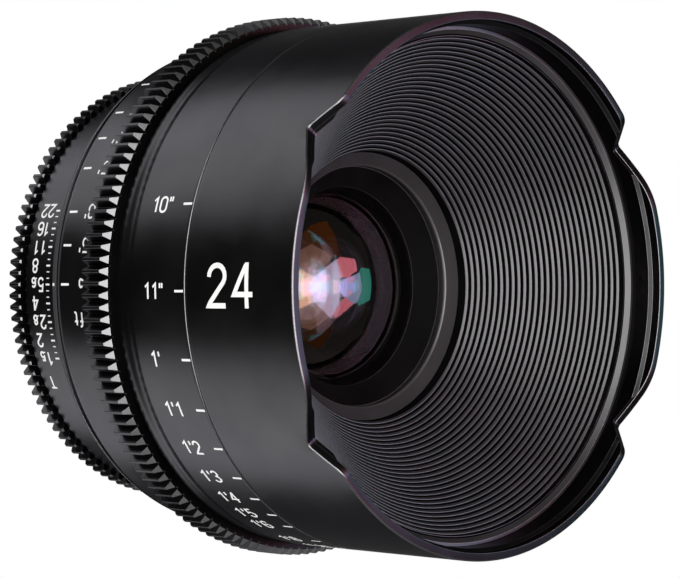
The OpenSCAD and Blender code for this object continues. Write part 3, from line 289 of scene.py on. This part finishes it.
BRASS = surface("turned_brass", (0.62, 0.42, 0.16), (0.72, 0.52, 0.22), (0.25, 0.38), metallic=1.0, bump=0.04,
                turning=7000.0)
BLADE = surface("coated_blade", (0.012, 0.012, 0.013), (0.02, 0.02, 0.021), (0.4, 0.5), metallic=0.6,
                bump=0.03)
WHITE = surface("white_fill", (0.76, 0.76, 0.75), (0.82, 0.82, 0.81), (0.5, 0.62), bump=0.1, specular=0.3)

GLASS_IOR = 1.55
COATS = {name: glass("coat_" + name, tint, GLASS_IOR, reflect) for name, tint, reflect in (
    ("peach", (1.0, 0.85, 0.75), 0.2), ("rose", (1.0, 0.5, 0.5), 0.01), ("lilac", (0.75, 0.62, 1.0), 0.01),
    ("teal", (0.3, 0.75, 0.7), 0.01), ("amber", (0.9, 0.5, 0.15), 0.01), ("violet", (0.6, 0.4, 0.7), 0.01))}
FINISHES = {"matt_black": MATT, "anodised_black": ANODISED, "steel": STEEL, "brass": BRASS,
            "blade_black": BLADE, "optical_glass": COATS["violet"]}
BLACKENED = ("front_cell", "focus_carriage", "rear_cell")
for name, node in nodes.items():
    slot_name = node.data.materials[0].name.split(".")[0]
    node.data.materials.clear()
    # The cells and the carriage are blackened inside, where the glass shows them
    node.data.materials.append(MATT if name in BLACKENED else FINISHES[slot_name])


# Front barrel: a plain tube whose rim has four corner notches

def arc_between(p, at, q, radius):
    """Points of a rounded corner of the notch, at a point between two others."""
    count = NOTCH_ROUND_STEPS
    u, v = (Vector(p) - Vector(at)).normalized(), (Vector(q) - Vector(at)).normalized()
    half = u.angle(v)/2
    middle = Vector(at) + (u + v).normalized()*(radius/math.sin(half))
    first = Vector(at) + u*(radius/math.tan(half)) - middle
    last = Vector(at) + v*(radius/math.tan(half)) - middle
    return [middle + (first*(1 - k/count) + last*(k/count)).normalized()*radius for k in range(count + 1)]


# Outline of a notch: how far round from its deepest point, and how far above that
NOTCH = ([Vector((-30, NOTCH_DEPTH))]
         + arc_between((-17.5, NOTCH_DEPTH), (-11.5, NOTCH_DEPTH), (0, 0), 18)
         + arc_between((-11.5, NOTCH_DEPTH), (0, 0), (6.7, NOTCH_DEPTH), 1.4)
         + arc_between((0, 0), (6.7, NOTCH_DEPTH), (12.7, NOTCH_DEPTH), 4.5)
         + [Vector((30, NOTCH_DEPTH))])


def notch_floor(across):
    """How far under the rim the notch lies, at a distance from its middle."""
    for a, b in zip(NOTCH, NOTCH[1:]):
        if a.x <= across <= b.x and b.x > a.x:
            return NOTCH_DEPTH - (a.y + (b.y - a.y)*(across - a.x)/(b.x - a.x))
    return 0.0


def rim_drop(r, angle):
    """How far the four notches lower the rim at an angle."""
    drop = 0.0
    for side in (0, math.pi):
        for up in (1, -1):
            away = up*(angle - side) - NOTCH_ANGLE
            away = (away + math.pi) % (2*math.pi) - math.pi
            if abs(away) < 0.5:
                drop = max(drop, notch_floor(r*math.sin(away)))
    return drop


RIM_EDGE = 0.6


def barrel_height(r, z, angle):
    """Lowers the hood to the floor of a notch, and keeps the rounded edge of the rim there."""
    if z < Z_LEDGE:
        return z
    return min(z, Z_RIM - rim_drop(r, angle) - (Z_RIM - z if Z_RIM - z < RIM_EDGE else 0.0))


def barrel_angles():
    """Angles round the barrel, close together at the notches."""
    fine = []
    for a in even_angles():
        near = min(abs((a - s - u*NOTCH_ANGLE + math.pi) % (2*math.pi) - math.pi)
                   for s in (0, math.pi) for u in (1, -1))
        steps = NOTCH_STEPS if near < NOTCH_REACH else 1
        fine += [a + 2*math.pi*k/TURN_STEPS/steps for k in range(steps)]
    return fine


turned("front_barrel_shell", [
    (BARREL_BORE, Z_SEAM), (FRONT_R - SEAM_FALL, Z_SEAM, SEAM_ROUND),
    (FRONT_R, Z_SEAM + SEAM_ROUND + SEAM_LEAD), (FRONT_R, Z_LEDGE - 0.5), (FRONT_R, Z_RIM, 0.4),
    (FRONT_R - RIM_T, Z_RIM, 0.15), (FRONT_R - RIM_T, Z_RIM - 2.0, 0.12), (HOOD_BORE, Z_RIM - 2.6, 0.12),
    (HOOD_BORE, Z_LEDGE), (HOOD_BORE - 2, Z_LEDGE), (HOOD_BORE - 2, Z_LEDGE - 2), (HOOD_BORE, Z_LEDGE - 4),
    (HOOD_BORE, Z_SEAM + BARREL_WEB), (BARREL_BORE, Z_SEAM + BARREL_WEB)],
    "barrel", ANODISED, "front_barrel", angles=barrel_angles(), height=barrel_height)


# Front baffle: a grooved cone with a smooth lip and an outer ridge

def cone(r):
    """Station of the cone at a radius."""
    return Z_HOLE + (r - HOLE_R)*CONE_SLOPE


z_lip = Z_HOLE + LIP_SLOPE*LIP_W
baffle = [(HOLE_R, Z_CELL), (HOLE_R, Z_HOLE, 0.8), (HOLE_R + LIP_W, z_lip, 0.1)]
pitch = (RIDGE_R - 1.6 - HOLE_R - LIP_W)/GROOVES
for i in range(GROOVES + 1):
    r = HOLE_R + LIP_W + i*pitch
    near, far, end = (r + share*pitch for share in (GROOVE_WALL, GROOVE_WIDTH, GROOVE_WIDTH + GROOVE_WALL))
    groove = [(r, cone(r), 0.1), (near, cone(near) - GROOVE_DEPTH), (far, cone(far) - GROOVE_DEPTH),
              (end, cone(end), 0.1)]
    baffle += groove if i else [(r + 0.3*pitch, z_lip - 0.4)] + groove[2:]
wall = BAFFLE_WALL*math.hypot(1, CONE_SLOPE)
ledge_in = HOOD_BORE - 2.1
foot_r = 31.0
foot_z = Z_CELL + 1.4
baffle += [(RIDGE_R, Z_RIDGE, 0.2), (HOOD_BORE - 0.1, Z_RIDGE), (HOOD_BORE - 0.1, Z_LEDGE),
           (ledge_in, Z_LEDGE), (ledge_in, cone(ledge_in) - wall),
           (HOLE_R + (foot_z + wall - Z_HOLE)/CONE_SLOPE, foot_z), (foot_r, foot_z), (foot_r, Z_CELL)]
cone_piece = turned("front_baffle_cone", baffle, "barrel", BAFFLE, "front_baffle")
cone_piece.data.materials.append(MATT)
cone_piece.data.materials.append(LIP)
# The floors of the grooves get the darker matt finish, a painted shade in the grooves, and the lip outside its
# rounded edge is dull
for polygon in cone_piece.data.polygons:
    r, z = math.hypot(polygon.center.x, polygon.center.z)/MM, -polygon.center.y/MM
    if HOLE_R + 0.6 < r < HOLE_R + LIP_W and z > Z_HOLE + 0.2:
        polygon.material_index = 2
    elif HOLE_R + LIP_W < r < RIDGE_R - 0.8 and z < cone(r) - 0.15:
        polygon.material_index = 1


# Focus ring and its gear

NECK_R, BEAD_MIDDLE_R, BEAD_BALL, BEAD_MIDDLE = 56.5, 50.04, 6.71, 2.01
bead = [(NECK_R, Z_GEAR_FRONT), (NECK_R, Z_GEAR_FRONT + 0.49)] + [
    (BEAD_MIDDLE_R + BEAD_BALL*math.cos(math.radians(t)),
     Z_GEAR_FRONT + BEAD_MIDDLE + BEAD_BALL*math.sin(math.radians(t)))
    for t in range(-12, 13, 2)] + [
    (NECK_R, Z_GEAR_FRONT + 4.06), (NECK_R, Z_BAND - 1.46), (56.75, Z_BAND - 0.4)]
turned("focus_ring_shell", [
    (FOCUS_BORE, Z_WEB), (SKIRT_R - SKIRT_WALL, Z_WEB), (SKIRT_R - SKIRT_WALL, Z_SKIRT, 0.2),
    (SKIRT_R - 0.4, Z_SKIRT, 0.1), (SKIRT_R, Z_SKIRT + 1.1, 0.2),
    (SKIRT_R, Z_GEAR), (GEAR_SEAT, Z_GEAR), (GEAR_SEAT, Z_GEAR_FRONT)] + bead + [
    (FRONT_R, Z_BAND + 0.5), (FRONT_R, Z_BAND_FRONT - SEAM_ROUND - SEAM_LEAD),
    (FRONT_R - SEAM_FALL, Z_BAND_FRONT, SEAM_ROUND), (FRONT_R - FOCUS_WALL, Z_BAND_FRONT),
    (FRONT_R - FOCUS_WALL, Z_WEB_FRONT), (FOCUS_BORE, Z_WEB_FRONT)],
    "focus", ANODISED, "focus_ring")


def gear_ring(name, teeth, lead, tip, low, high, low_bevel, high_bevel, bore, body, node):
    """A toothed ring between two stations, with the ends of its teeth bevelled."""
    def bore_row(z):
        return [place(bore, 2*math.pi*(i + lead + s)/teeth, z) for i in range(teeth)
                for s in (-TOOTH_ROOT, -TOOTH_TIP, TOOTH_TIP, TOOTH_ROOT)]

    limits = ((low, tip - low_bevel), (low + low_bevel, tip),
              (high - high_bevel, tip), (high, tip - high_bevel))
    rows = [bore_row(low)]
    rows += [tooth_row(teeth, lead, tip, tip - TOOTH_H, limit, z) for z, limit in limits]
    rows.append(bore_row(high))
    columns = 4*teeth
    piece = finish_mesh(name, [v for row in rows for v in row], rows_to_faces(len(rows), columns), None,
                        body, GEAR_BLACK, node, weighted=False)
    bevel = piece.modifiers.new("edges", "BEVEL")
    bevel.width, bevel.segments = TOOTH_BEVEL, 2
    bevel.limit_method, bevel.angle_limit = "ANGLE", TOOTH_SHARP
    bevel.harden_normals = True
    # The bevels at the front of the teeth, in the fourth row of faces, get a lighter metal: a painted highlight
    piece.data.materials.append(BEVEL_HIGHLIGHT)
    for tooth in range(teeth):
        piece.data.polygons[3*columns + 4*tooth + 1].material_index = 1


gear_ring("focus_gear_teeth", FOCUS_TEETH, FOCUS_LEAD, FOCUS_TIP, Z_GEAR, Z_GEAR_FRONT, 0.35, 1.35, GEAR_BORE,
          "focus", "focus_gear")


# Iris ring with its gear, and the index ring

z_face = Z_IRIS + IRIS_FACE
turned("iris_ring_shell", [
    (REAR_BORE, z_face - 0.5), (SCALE_R - 1.2, z_face - 0.5), (SCALE_R - 1.2, z_face),
    (SCALE_R, z_face + 0.6, 0.2), (SCALE_R, Z_IRIS_FRONT, 0.3), (REAR_BORE, Z_IRIS_FRONT)],
    "iris", ANODISED, "iris_ring")
gear_ring("iris_gear_teeth", IRIS_TEETH, IRIS_LEAD, IRIS_TIP, Z_IRIS, z_face, 0.25, 0.35, REAR_BORE,
          "iris", "iris_ring")
turned("index_ring_shell", [
    (REAR_BORE, Z_INDEX), (INDEX_R - 1.9, Z_INDEX, 0.3), (INDEX_R - INDEX_FALL, Z_INDEX + 1.3, 0.2),
    (INDEX_R, Z_INDEX_FRONT - 0.3, 0.1), (INDEX_R - 0.3, Z_INDEX_FRONT), (REAR_BORE, Z_INDEX_FRONT)],
    "barrel", ANODISED, "index_ring")


# Front retaining ring and the glass

turned("front_retainer_ring", [
    (RETAINER_BORE, Z_RETAINER, 0.1), (RETAINER_R, Z_RETAINER), (RETAINER_R, Z_CELL - 0.1),
    (HOLE_R - 0.1, Z_CELL - 0.1, 0.15)],
    "barrel", MATT, "front_retainer")


def sag(ball, r):
    """How far a ball face falls away at a radius."""
    return ball - math.sqrt(ball*ball - r*r)


def face(vertex, ball, clear, edge_r, towards):
    """Points of a ball face from its vertex to the rim. A hollow face has a negative ball and a flat rim."""
    steps = FACE_STEPS
    reach = edge_r if ball > 0 else clear
    fall = -towards if ball > 0 else towards
    points = [(reach*k/steps, vertex + fall*sag(abs(ball), reach*k/steps)) for k in range(steps + 1)]
    return points + ([(edge_r, points[-1][1])] if ball < 0 else [])


# Edge radius, then vertex, ball and clear radius of the front and the rear face, and the two coatings
ELEMENTS = {
    "front_element": (24.0, (71.415, 45, 24), (68.415, -20, 17.5), "peach", "lilac"),
    "second_element": (21.0, (59.897, 40, 21), (57.397, -24, 16), "rose", "teal"),
    "third_element": (17.5, (52.901, 50, 17.5), (47.0, 80, 17.5), "lilac", "teal"),
    "fourth_element": (15.5, (38.822, -60, 13), (37.222, -45, 13), "teal", "amber"),
    "fifth_element": (15.5, (36.517, 45, 15.5), (30.5, 50, 15.5), "rose", "violet"),
    "sixth_element": (12.5, (20.4, 30, 12.5), (15.101, 45, 12.5), "violet", "amber"),
    "seventh_element": (12.5, (12.234, -30, 11), (10.434, -40, 11.6), "teal", "violet"),
    "eighth_element": (12.5, (10.414, 40, 12.5), (4.409, 26, 12.5), "violet", "rose"),
    "ninth_element": (12.5, (1.73, -40, 11), (-0.27, 60, 12.5), "amber", "violet"),
    "tenth_element": (12.5, (-0.97, 50, 12.5), (-5.666, 35, 12.5), "violet", "lilac"),
}
CARRIED = ("fourth_element", "fifth_element")
# Share of a hollow face's clear radius that is left clear of the edge ink
CLEAR_SHARE = 0.86
for name, (edge_r, front, rear, front_coat, rear_coat) in ELEMENTS.items():
    front_points = face(*front, edge_r, 1)
    rear_points = face(*rear, edge_r, -1)
    outline = front_points + rear_points[::-1]
    piece = solid_turned(name.replace("element", "glass"), outline, "carriage" if name in CARRIED else "barrel",
                         COATS[front_coat], name)
    piece.data.materials.append(COATS[rear_coat])
    piece.data.materials.append(INK)
    # The edge and the flat rims are blackened, and the rear face has its own coating
    reach = [CLEAR_SHARE*clear if ball < 0 else edge_r for _, ball, clear in (front, rear)]
    for polygon in piece.data.polygons:
        r = math.hypot(polygon.center.x, polygon.center.z)/MM
        facing = -polygon.normal.y
        if r > edge_r - 0.05 or (facing > 0 and r > reach[0]) or (facing < 0 and r > reach[1]):
            polygon.material_index = 2
        elif facing < 0:
            polygon.material_index = 1


# Scales and marks, filled with white

def wrapped(u, v, w, r, phi, z, turn):
    """A point of a mark that is u along the axis, v round it and w proud of a cylinder."""
    return place(r + w, math.pi - phi - turn*v/r, z + turn*u)


PROUD, SUNK = 0.03, 0.05


def bar(work, r, phi, z0, z1, width, fall=0.0):
    """A straight tick along the axis, phi degrees up from the near side. Its rear end lies lower by fall."""
    half = width/2
    corners = [work.verts.new(wrapped(u, v, w, r - (fall if u == z0 else 0.0), math.radians(phi), 0, 1))
               for w in (-SUNK, PROUD) for u, v in ((z0, -half), (z1, -half), (z1, half), (z0, half))]
    for quad in ((0, 3, 2, 1), (4, 5, 6, 7), (0, 1, 5, 4), (1, 2, 6, 5), (2, 3, 7, 6), (3, 0, 4, 7)):
        work.faces.new([corners[k] for k in quad])


def bow(x, y, rx, ry, first, last, count=12):
    """Points of an arc of a numeral."""
    steps = [math.radians(first + (last - first)*k/count) for k in range(count + 1)]
    return [(x + rx*math.cos(a), y + ry*math.sin(a)) for a in steps]


def ring_of(x, y, rx, ry):
    """A closed oval of a numeral."""
    return bow(x, y, rx, ry, 90, 450, 24)


# Width of each sign and its strokes, for a height of 1
SIGNS = {
    "0": (0.5, [bow(0.25, 0.74, 0.25, 0.26, 0, 180) + bow(0.25, 0.26, 0.25, 0.26, 180, 360) + [(0.5, 0.74)]]),
    "1": (0.42, [[(0.08, 0.76), (0.3, 0.98), (0.3, 0.0)]]),
    "2": (0.5, [bow(0.25, 0.73, 0.235, 0.27, 184, -36) + [(0.04, 0.07), (0.0, 0.0), (0.5, 0.0)]]),
    "3": (0.5, [bow(0.24, 0.76, 0.21, 0.24, 160, -80) + bow(0.24, 0.26, 0.25, 0.26, 80, -160)]),
    "4": (0.54, [[(0.34, 1.0), (0.0, 0.28), (0.54, 0.28)], [(0.365, 1.06), (0.365, -0.06)]]),
    "5": (0.5, [[(0.45, 1.0), (0.08, 1.0), (0.04, 0.52)] + bow(0.24, 0.31, 0.25, 0.31, 130, -155)]),
    "6": (0.5, [ring_of(0.25, 0.28, 0.25, 0.28),
                [(0.0, 0.28), (0.0, 0.7)] + bow(0.24, 0.73, 0.24, 0.27, 180, 25)]),
    "7": (0.48, [[(0.0, 1.0), (0.48, 1.0), (0.16, 0.0)]]),
    "8": (0.5, [ring_of(0.25, 0.76, 0.2, 0.24), ring_of(0.25, 0.27, 0.25, 0.27)]),
    "9": (0.5, [ring_of(0.25, 0.72, 0.25, 0.28),
                [(0.5, 0.72), (0.5, 0.3)] + bow(0.26, 0.27, 0.24, 0.27, 0, -155)]),
    "'": (0.06, [[(0.03, 1.02), (0.03, 0.7)]]),
    '"': (0.24, [[(0.03, 1.02), (0.03, 0.7)], [(0.21, 1.02), (0.21, 0.7)]]),
    ".": (0.06, [[(0.03, 0.1), (0.03, -0.04)]]),
    "T": (0.5, [[(0.0, 1.0), (0.5, 1.0)], [(0.25, 1.0), (0.25, 0.0)]]),
    "f": (0.3, [bow(0.25, 0.82, 0.13, 0.18, 60, 180, 6) + [(0.12, 0.0)], [(0.0, 0.64), (0.3, 0.64)]]),
    "t": (0.3, [[(0.11, 0.92), (0.11, 0.16)] + bow(0.24, 0.14, 0.13, 0.14, 190, 290, 6),
                [(0.0, 0.64), (0.3, 0.64)]]),
    "~": (0.9, [[(0.45 + 0.43*math.cos(a), 0.42 + 0.25*math.sin(2*a)) for a in
                 (2*math.pi*k/40 for k in range(41))]]),
}
WIDE, SPACE, WEIGHT = 1.18, 0.25, 0.145
SMALL = 0.68


def stroke(work, points, width, to_place):
    """A closed ribbon of one width along a line of points."""
    fine = [points[0]]
    for p, q in zip(points, points[1:]):
        count = max(1, int(math.dist(p, q)/0.7))
        fine += [(p[0] + (q[0] - p[0])*k/count, p[1] + (q[1] - p[1])*k/count) for k in range(1, count + 1)]
    looped = math.dist(fine[0], fine[-1]) < 1e-6
    if looped:
        fine.pop()
    n = len(fine)
    rows = []
    for i, p in enumerate(fine):
        before = Vector(fine[i - 1]) if i or looped else None
        after = Vector(fine[(i + 1) % n]) if i < n - 1 or looped else None
        at = Vector(p)
        a = (at - before).normalized() if before is not None else (after - at).normalized()
        b = (after - at).normalized() if after is not None else a
        side = Vector((-(a.y + b.y), a.x + b.x)).normalized()
        side *= width/2/max(0.5, side.dot(Vector((-a.y, a.x))))
        rows.append([work.verts.new(to_place(at.x + s*side.x, at.y + s*side.y, w))
                     for s, w in ((1, PROUD), (-1, PROUD), (-1, -SUNK), (1, -SUNK))])
    for i in range(n if looped else n - 1):
        for k in range(4):
            one, two = rows[i], rows[(i + 1) % n]
            work.faces.new((one[k], one[(k + 1) % 4], two[(k + 1) % 4], two[k]))
    if not looped:
        work.faces.new(rows[0][::-1])
        work.faces.new(rows[-1])


def words(work, text, height, r, phi, z, turn=1, align="CENTER", weight=WEIGHT, wide=WIDE, space=SPACE):
    """Numerals wrapped on a cylinder, upright for turn 1 and upside down for turn -1.
    What follows a point is small."""
    placed, u, size = [], 0.0, height
    for sign in text:
        if sign == ".":
            size = SMALL*height
        placed.append((sign, u, size))
        u += size*(wide*SIGNS[sign][0] + (0.5*space if sign == "." else space))
    u -= size*space
    start = {"LEFT": 0.0, "CENTER": -u/2, "RIGHT": -u}[align]
    for sign, at, size in placed:
        for points in SIGNS[sign][1]:
            stroke(work, [(x*size*wide, y*size) for x, y in points], weight*height,
                   lambda x, y, w: wrapped(start + at + x, y - height/2, w, r, math.radians(phi), z, turn))


def marks(name, body, draw):
    """A piece of white marks that rides on a body."""
    work = bmesh.new()
    draw(work)
    bmesh.ops.recalc_face_normals(work, faces=work.faces)
    mesh = bpy.data.meshes.new(name)
    work.to_mesh(mesh)
    work.free()
    mesh.materials.append(WHITE)
    piece = bpy.data.objects.new(name, mesh)
    scene.collection.objects.link(piece)
    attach(piece, body)


def feet(inches):
    """A distance in feet and inches, or in inches below a foot."""
    whole, rest = divmod(inches, 12)
    if not whole:
        return f'{rest}"'
    return f"{whole}'" + (f"{rest}" if rest else "")


# Distances in inches and their angles, measured on the near side. The others follow a law of one over distance.
LAW = 1620.0
NEAR = {10: 17.0, 11: -1.0, 12: -15.17, 13: -26.25, 14: -35.66, 15: -43.79, 16: -50.54, 17: -56.59}
FAR_PHI = NEAR[17] - LAW/17
LATER = (18, 20, 22, 24, 27, 30, 36, 48, 60, 96, 180)
ZERO_PHI = 0.4
REAR = {30: 53.8, 36: 43.51, 48: 35.7, 60: 27.59, 96: 16.9, 180: 9.18}
REAR_LATER = (24, 20, 18, 16, 14, 13, 12, 11, 10)
TICK_W = 0.5
FRONT_TICK, FRONT_TEXT, FRONT_TEXT_H = (Z_RIM - 34.6, Z_RIM - 32.0), Z_RIM - 44.0, 3.15
REAR_TICK, REAR_TEXT, REAR_TEXT_H = (Z_RIM - 74.2, Z_RIM - 71.6), Z_RIM - 68.7, 3.0
STOP_TICK, THIRD_TICK = (Z_RIM - 88.7, Z_RIM - 87.4), (Z_RIM - 88.45, Z_RIM - 87.55)
STOP_TEXT, STOP_TEXT_H, STOP_STEP = Z_RIM - 93.5, 2.85, 5


def front_scale(work):
    places = dict(NEAR)
    places.update({d: FAR_PHI + LAW/d for d in LATER})
    for inches, phi in places.items():
        bar(work, FRONT_R, phi, *FRONT_TICK, TICK_W)
        words(work, feet(inches), FRONT_TEXT_H, FRONT_R, phi, FRONT_TEXT, align="LEFT")
    bar(work, FRONT_R, FAR_PHI, *FRONT_TICK, TICK_W)
    words(work, "~", FRONT_TEXT_H, FRONT_R, FAR_PHI, FRONT_TEXT, align="LEFT")


def rear_scale(work):
    places = dict(REAR)
    places.update({d: ZERO_PHI + LAW/d for d in REAR_LATER})
    for inches, phi in places.items():
        bar(work, SKIRT_R, phi, *REAR_TICK, TICK_W)
        words(work, feet(inches), REAR_TEXT_H, SKIRT_R, phi, REAR_TEXT, turn=-1, align="RIGHT")
    bar(work, SKIRT_R, ZERO_PHI, *REAR_TICK, TICK_W)
    words(work, "~", 3.3, SKIRT_R, ZERO_PHI, Z_RIM - 68.1, turn=-1, align="RIGHT")
    words(work, "ft", REAR_TEXT_H, SKIRT_R, -7.4, Z_RIM - 70.1, turn=-1, align="RIGHT")


STOPS = (("22", 20), ("16", 15), ("11", 10), ("8", 5), ("5.6", 0), ("4", -5), ("2.8", -10), ("2", -15),
         ("1.5", -20))


def iris_scale(work):
    for side in (0.45, 180.45):
        for text, phi in STOPS:
            bar(work, SCALE_R, side + phi, *STOP_TICK, 0.42)
            words(work, text, STOP_TEXT_H, SCALE_R, side + phi, STOP_TEXT, turn=-1, align="RIGHT", weight=0.16,
                  space=0.36 if text == "11" else SPACE)
            if phi > STOPS[-1][1]:
                for third in (1, 2):
                    bar(work, SCALE_R, side + phi - STOP_STEP*third/3, *THIRD_TICK, 0.24)
        words(work, "T", STOP_TEXT_H, SCALE_R, side - 27, STOP_TEXT, turn=-1, align="RIGHT", weight=0.15)


def barrel_marks(work):
    words(work, "24", 8.05, FRONT_R, 0.15, Z_RIM - 17.8, weight=0.132, wide=1.235, space=0.32)
    bar(work, FRONT_R, FAR_PHI, Z_SEAM + 1.0, Z_SEAM + 3.6, TICK_W)
    for phi in (ZERO_PHI, 180 + ZERO_PHI):
        bar(work, INDEX_R, phi, Z_INDEX + 1.4, Z_INDEX_FRONT - 0.35, 0.6, INDEX_FALL - 0.03)


marks("front_scale_marks", "focus", front_scale)
marks("rear_scale_marks", "focus", rear_scale)
marks("iris_scale_marks", "iris", iris_scale)
marks("barrel_marks", "barrel", barrel_marks)


# Studio: floor well below the lens, a white backdrop behind it, lamps and camera

def panel(name, middle, towards, size):
    """A flat board that faces a point."""
    x, y = size[0]/2, size[1]/2
    mesh = bpy.data.meshes.new(name)
    mesh.from_pydata([(-x, -y, 0), (x, -y, 0), (x, y, 0), (-x, y, 0)], [], [(0, 1, 2, 3)])
    board = bpy.data.objects.new(name, mesh)
    scene.collection.objects.link(board)
    board.location = middle
    board.rotation_euler = (Vector(towards) - Vector(middle)).to_track_quat("Z", "Y").to_euler()
    return board


def lamp(name, middle, size, watts):
    """A white area light that faces the lens and doesn't show."""
    light = bpy.data.lights.new(name, "AREA")
    light.shape = "RECTANGLE"
    light.size, light.size_y = size
    light.energy = watts
    holder = bpy.data.objects.new(name, light)
    scene.collection.objects.link(holder)
    holder.location = middle
    holder.rotation_euler = (middle - MIDDLE).to_track_quat("Z", "Y").to_euler()
    holder.visible_camera = False


def pale(name, colour, lit_for_view):
    """A pale board. Seen directly or in a reflection, it is as bright as lit_for_view."""
    material = bpy.data.materials.new(name)
    material.use_nodes = True
    tree = material.node_tree
    shader = tree.nodes["Principled BSDF"]
    shader.inputs["Base Color"].default_value = (*colour, 1)
    shader.inputs["Roughness"].default_value = 0.9
    shader.inputs["Specular IOR Level"].default_value = 0.0
    if lit_for_view:
        path = tree.nodes.new("ShaderNodeLightPath")
        seen = tree.nodes.new("ShaderNodeMath")
        seen.operation = "MAXIMUM"
        tree.links.new(path.outputs["Is Camera Ray"], seen.inputs[0])
        also = tree.nodes.new("ShaderNodeMath")
        also.operation = "MAXIMUM"
        tree.links.new(path.outputs["Is Glossy Ray"], also.inputs[0])
        tree.links.new(path.outputs["Is Transmission Ray"], also.inputs[1])
        tree.links.new(also.outputs[0], seen.inputs[1])
        glow = tree.nodes.new("ShaderNodeEmission")
        glow.inputs["Strength"].default_value = lit_for_view
        mix = tree.nodes.new("ShaderNodeMixShader")
        tree.links.new(seen.outputs[0], mix.inputs["Fac"])
        tree.links.new(shader.outputs["BSDF"], mix.inputs[1])
        tree.links.new(glow.outputs["Emission"], mix.inputs[2])
        tree.links.new(mix.outputs["Shader"], tree.nodes["Material Output"].inputs["Surface"])
    return material


VIEW = Vector((0.6993, 0.7148, 0))
EYE = Vector((-0.4062, -0.4801, 0))
MIDDLE = Vector((0, -0.06, 0))

floor = panel("floor", (0, 0, -1.1), (0, 0, 1), (12, 12))
floor.data.materials.append(pale("pale_floor", (0.8, 0.8, 0.8), 0.0))
backdrop = panel("backdrop", EYE + VIEW*2.4, EYE, (0.95, 0.85))
backdrop.data.materials.append(pale("white_backdrop", (0.9, 0.9, 0.9), 1.0))


BOX_DISTANCE = 0.6


def softbox(name, colour, radiance, corners):
    """A soft light in front of the lens. A corner is so many degrees from the axis to the far side, and up."""
    rays = [(math.radians(side), math.radians(up)) for side, up in corners]
    mesh = bpy.data.meshes.new(name)
    points = [MIDDLE + BOX_DISTANCE*Vector((
        math.cos(up)*math.sin(side), -math.cos(up)*math.cos(side), math.sin(up))) for side, up in rays]
    mesh.from_pydata(points, [], [range(len(rays))])
    board = bpy.data.objects.new(name, mesh)
    scene.collection.objects.link(board)
    material = bpy.data.materials.new(name)
    material.use_nodes = True
    shader = material.node_tree.nodes["Principled BSDF"]
    shader.inputs["Base Color"].default_value = (0, 0, 0, 1)
    shader.inputs["Specular IOR Level"].default_value = 0.0
    shader.inputs["Emission Color"].default_value = (*colour, 1)
    shader.inputs["Emission Strength"].default_value = radiance
    mesh.materials.append(material)
    board.visible_camera = False


for sign in (1, -1):
    lamp(f"strip_{'top' if sign > 0 else 'bottom'}", MIDDLE + Vector((-0.35, 0.715, sign*0.606))*0.6,
         (0.36, 0.40), 2.1)
lamp("front_panel", MIDDLE + Vector((-0.74, -0.66, 0.12))*0.9, (0.6, 1.5), 9.0)
lamp("back_panel", MIDDLE + Vector((0.1, 0.95, 0))*1.2, (0.8, 0.8), 1.7)
for name, colour, radiance, corners in (
        ("rim", (1.0, 1.0, 1.0), 7,
         [(-34, 24), (-12, 24), (-12, -24), (-34, -24)]),
        ("peach", (1.0, 0.63, 0.40), 10,
         [(0, 10), (10, 5), (7, -1), (10, -8), (1, -13), (-1, -1)]),
        ("lilac", (0.75, 0.63, 1.0), 8,
         [(10, 5), (27, 13), (28, 8), (29, -1), (28, -8), (24, -16), (10, -8), (7, -1)]),
        ("pink_high", (1.0, 0.28, 0.4), 7.5,
         [(30, 14), (41, 12), (42, 7), (34, 4), (28, 4), (26, 12)]),
        ("pink_low", (1.0, 0.28, 0.4), 7,
         [(32, -5), (39, -8), (27, -16), (25, -14), (28, -8)]),
        ("lavender", (0.48, 0.6, 1.0), 6,
         [(29, 3), (35, 4), (43, 6), (45, -1), (42, -7), (39, -8), (32, -5), (29, -4)]),
        ("teal", (0.13, 1.0, 0.83), 2.4,
         [(43, 6), (45, 8), (52, 7), (57, -1), (53, -5), (43, -9), (42, -7), (45, -1)]),
        ("brown_high", (1.0, 0.55, 0.42), 2.0,
         [(2, 19), (12, 22), (25, 14), (10, 5), (0, 10)]),
        ("brown_low", (1.0, 0.55, 0.42), 1.7,
         [(1, -13), (10, -8), (23, -15), (12, -23), (5, -22)]),
        ("dark_high", (1.0, 0.34, 0.1), 0.6,
         [(6, 27), (16, 32), (29, 32), (31, 23), (30, 15), (25, 14), (12, 22), (3, 20)]),
        ("dark_low", (1.0, 0.34, 0.1), 0.35,
         [(5, -22), (12, -23), (23, -15), (27, -23), (22, -32), (9, -29)])):
    softbox("softbox_" + name, colour, radiance, corners)

world = bpy.data.worlds.new("studio")
scene.world = world
world.use_nodes = True
world.node_tree.nodes["Background"].inputs["Color"].default_value = (0.12, 0.12, 0.12, 1)

shot = bpy.data.cameras.new("camera")
shot.lens, shot.sensor_width, shot.shift_y = 140.1, 36.0, -0.0041
camera = bpy.data.objects.new("camera", shot)
scene.collection.objects.link(camera)
camera.location = EYE
camera.rotation_euler = (-VIEW).to_track_quat("Z", "Y").to_euler()
scene.camera = camera
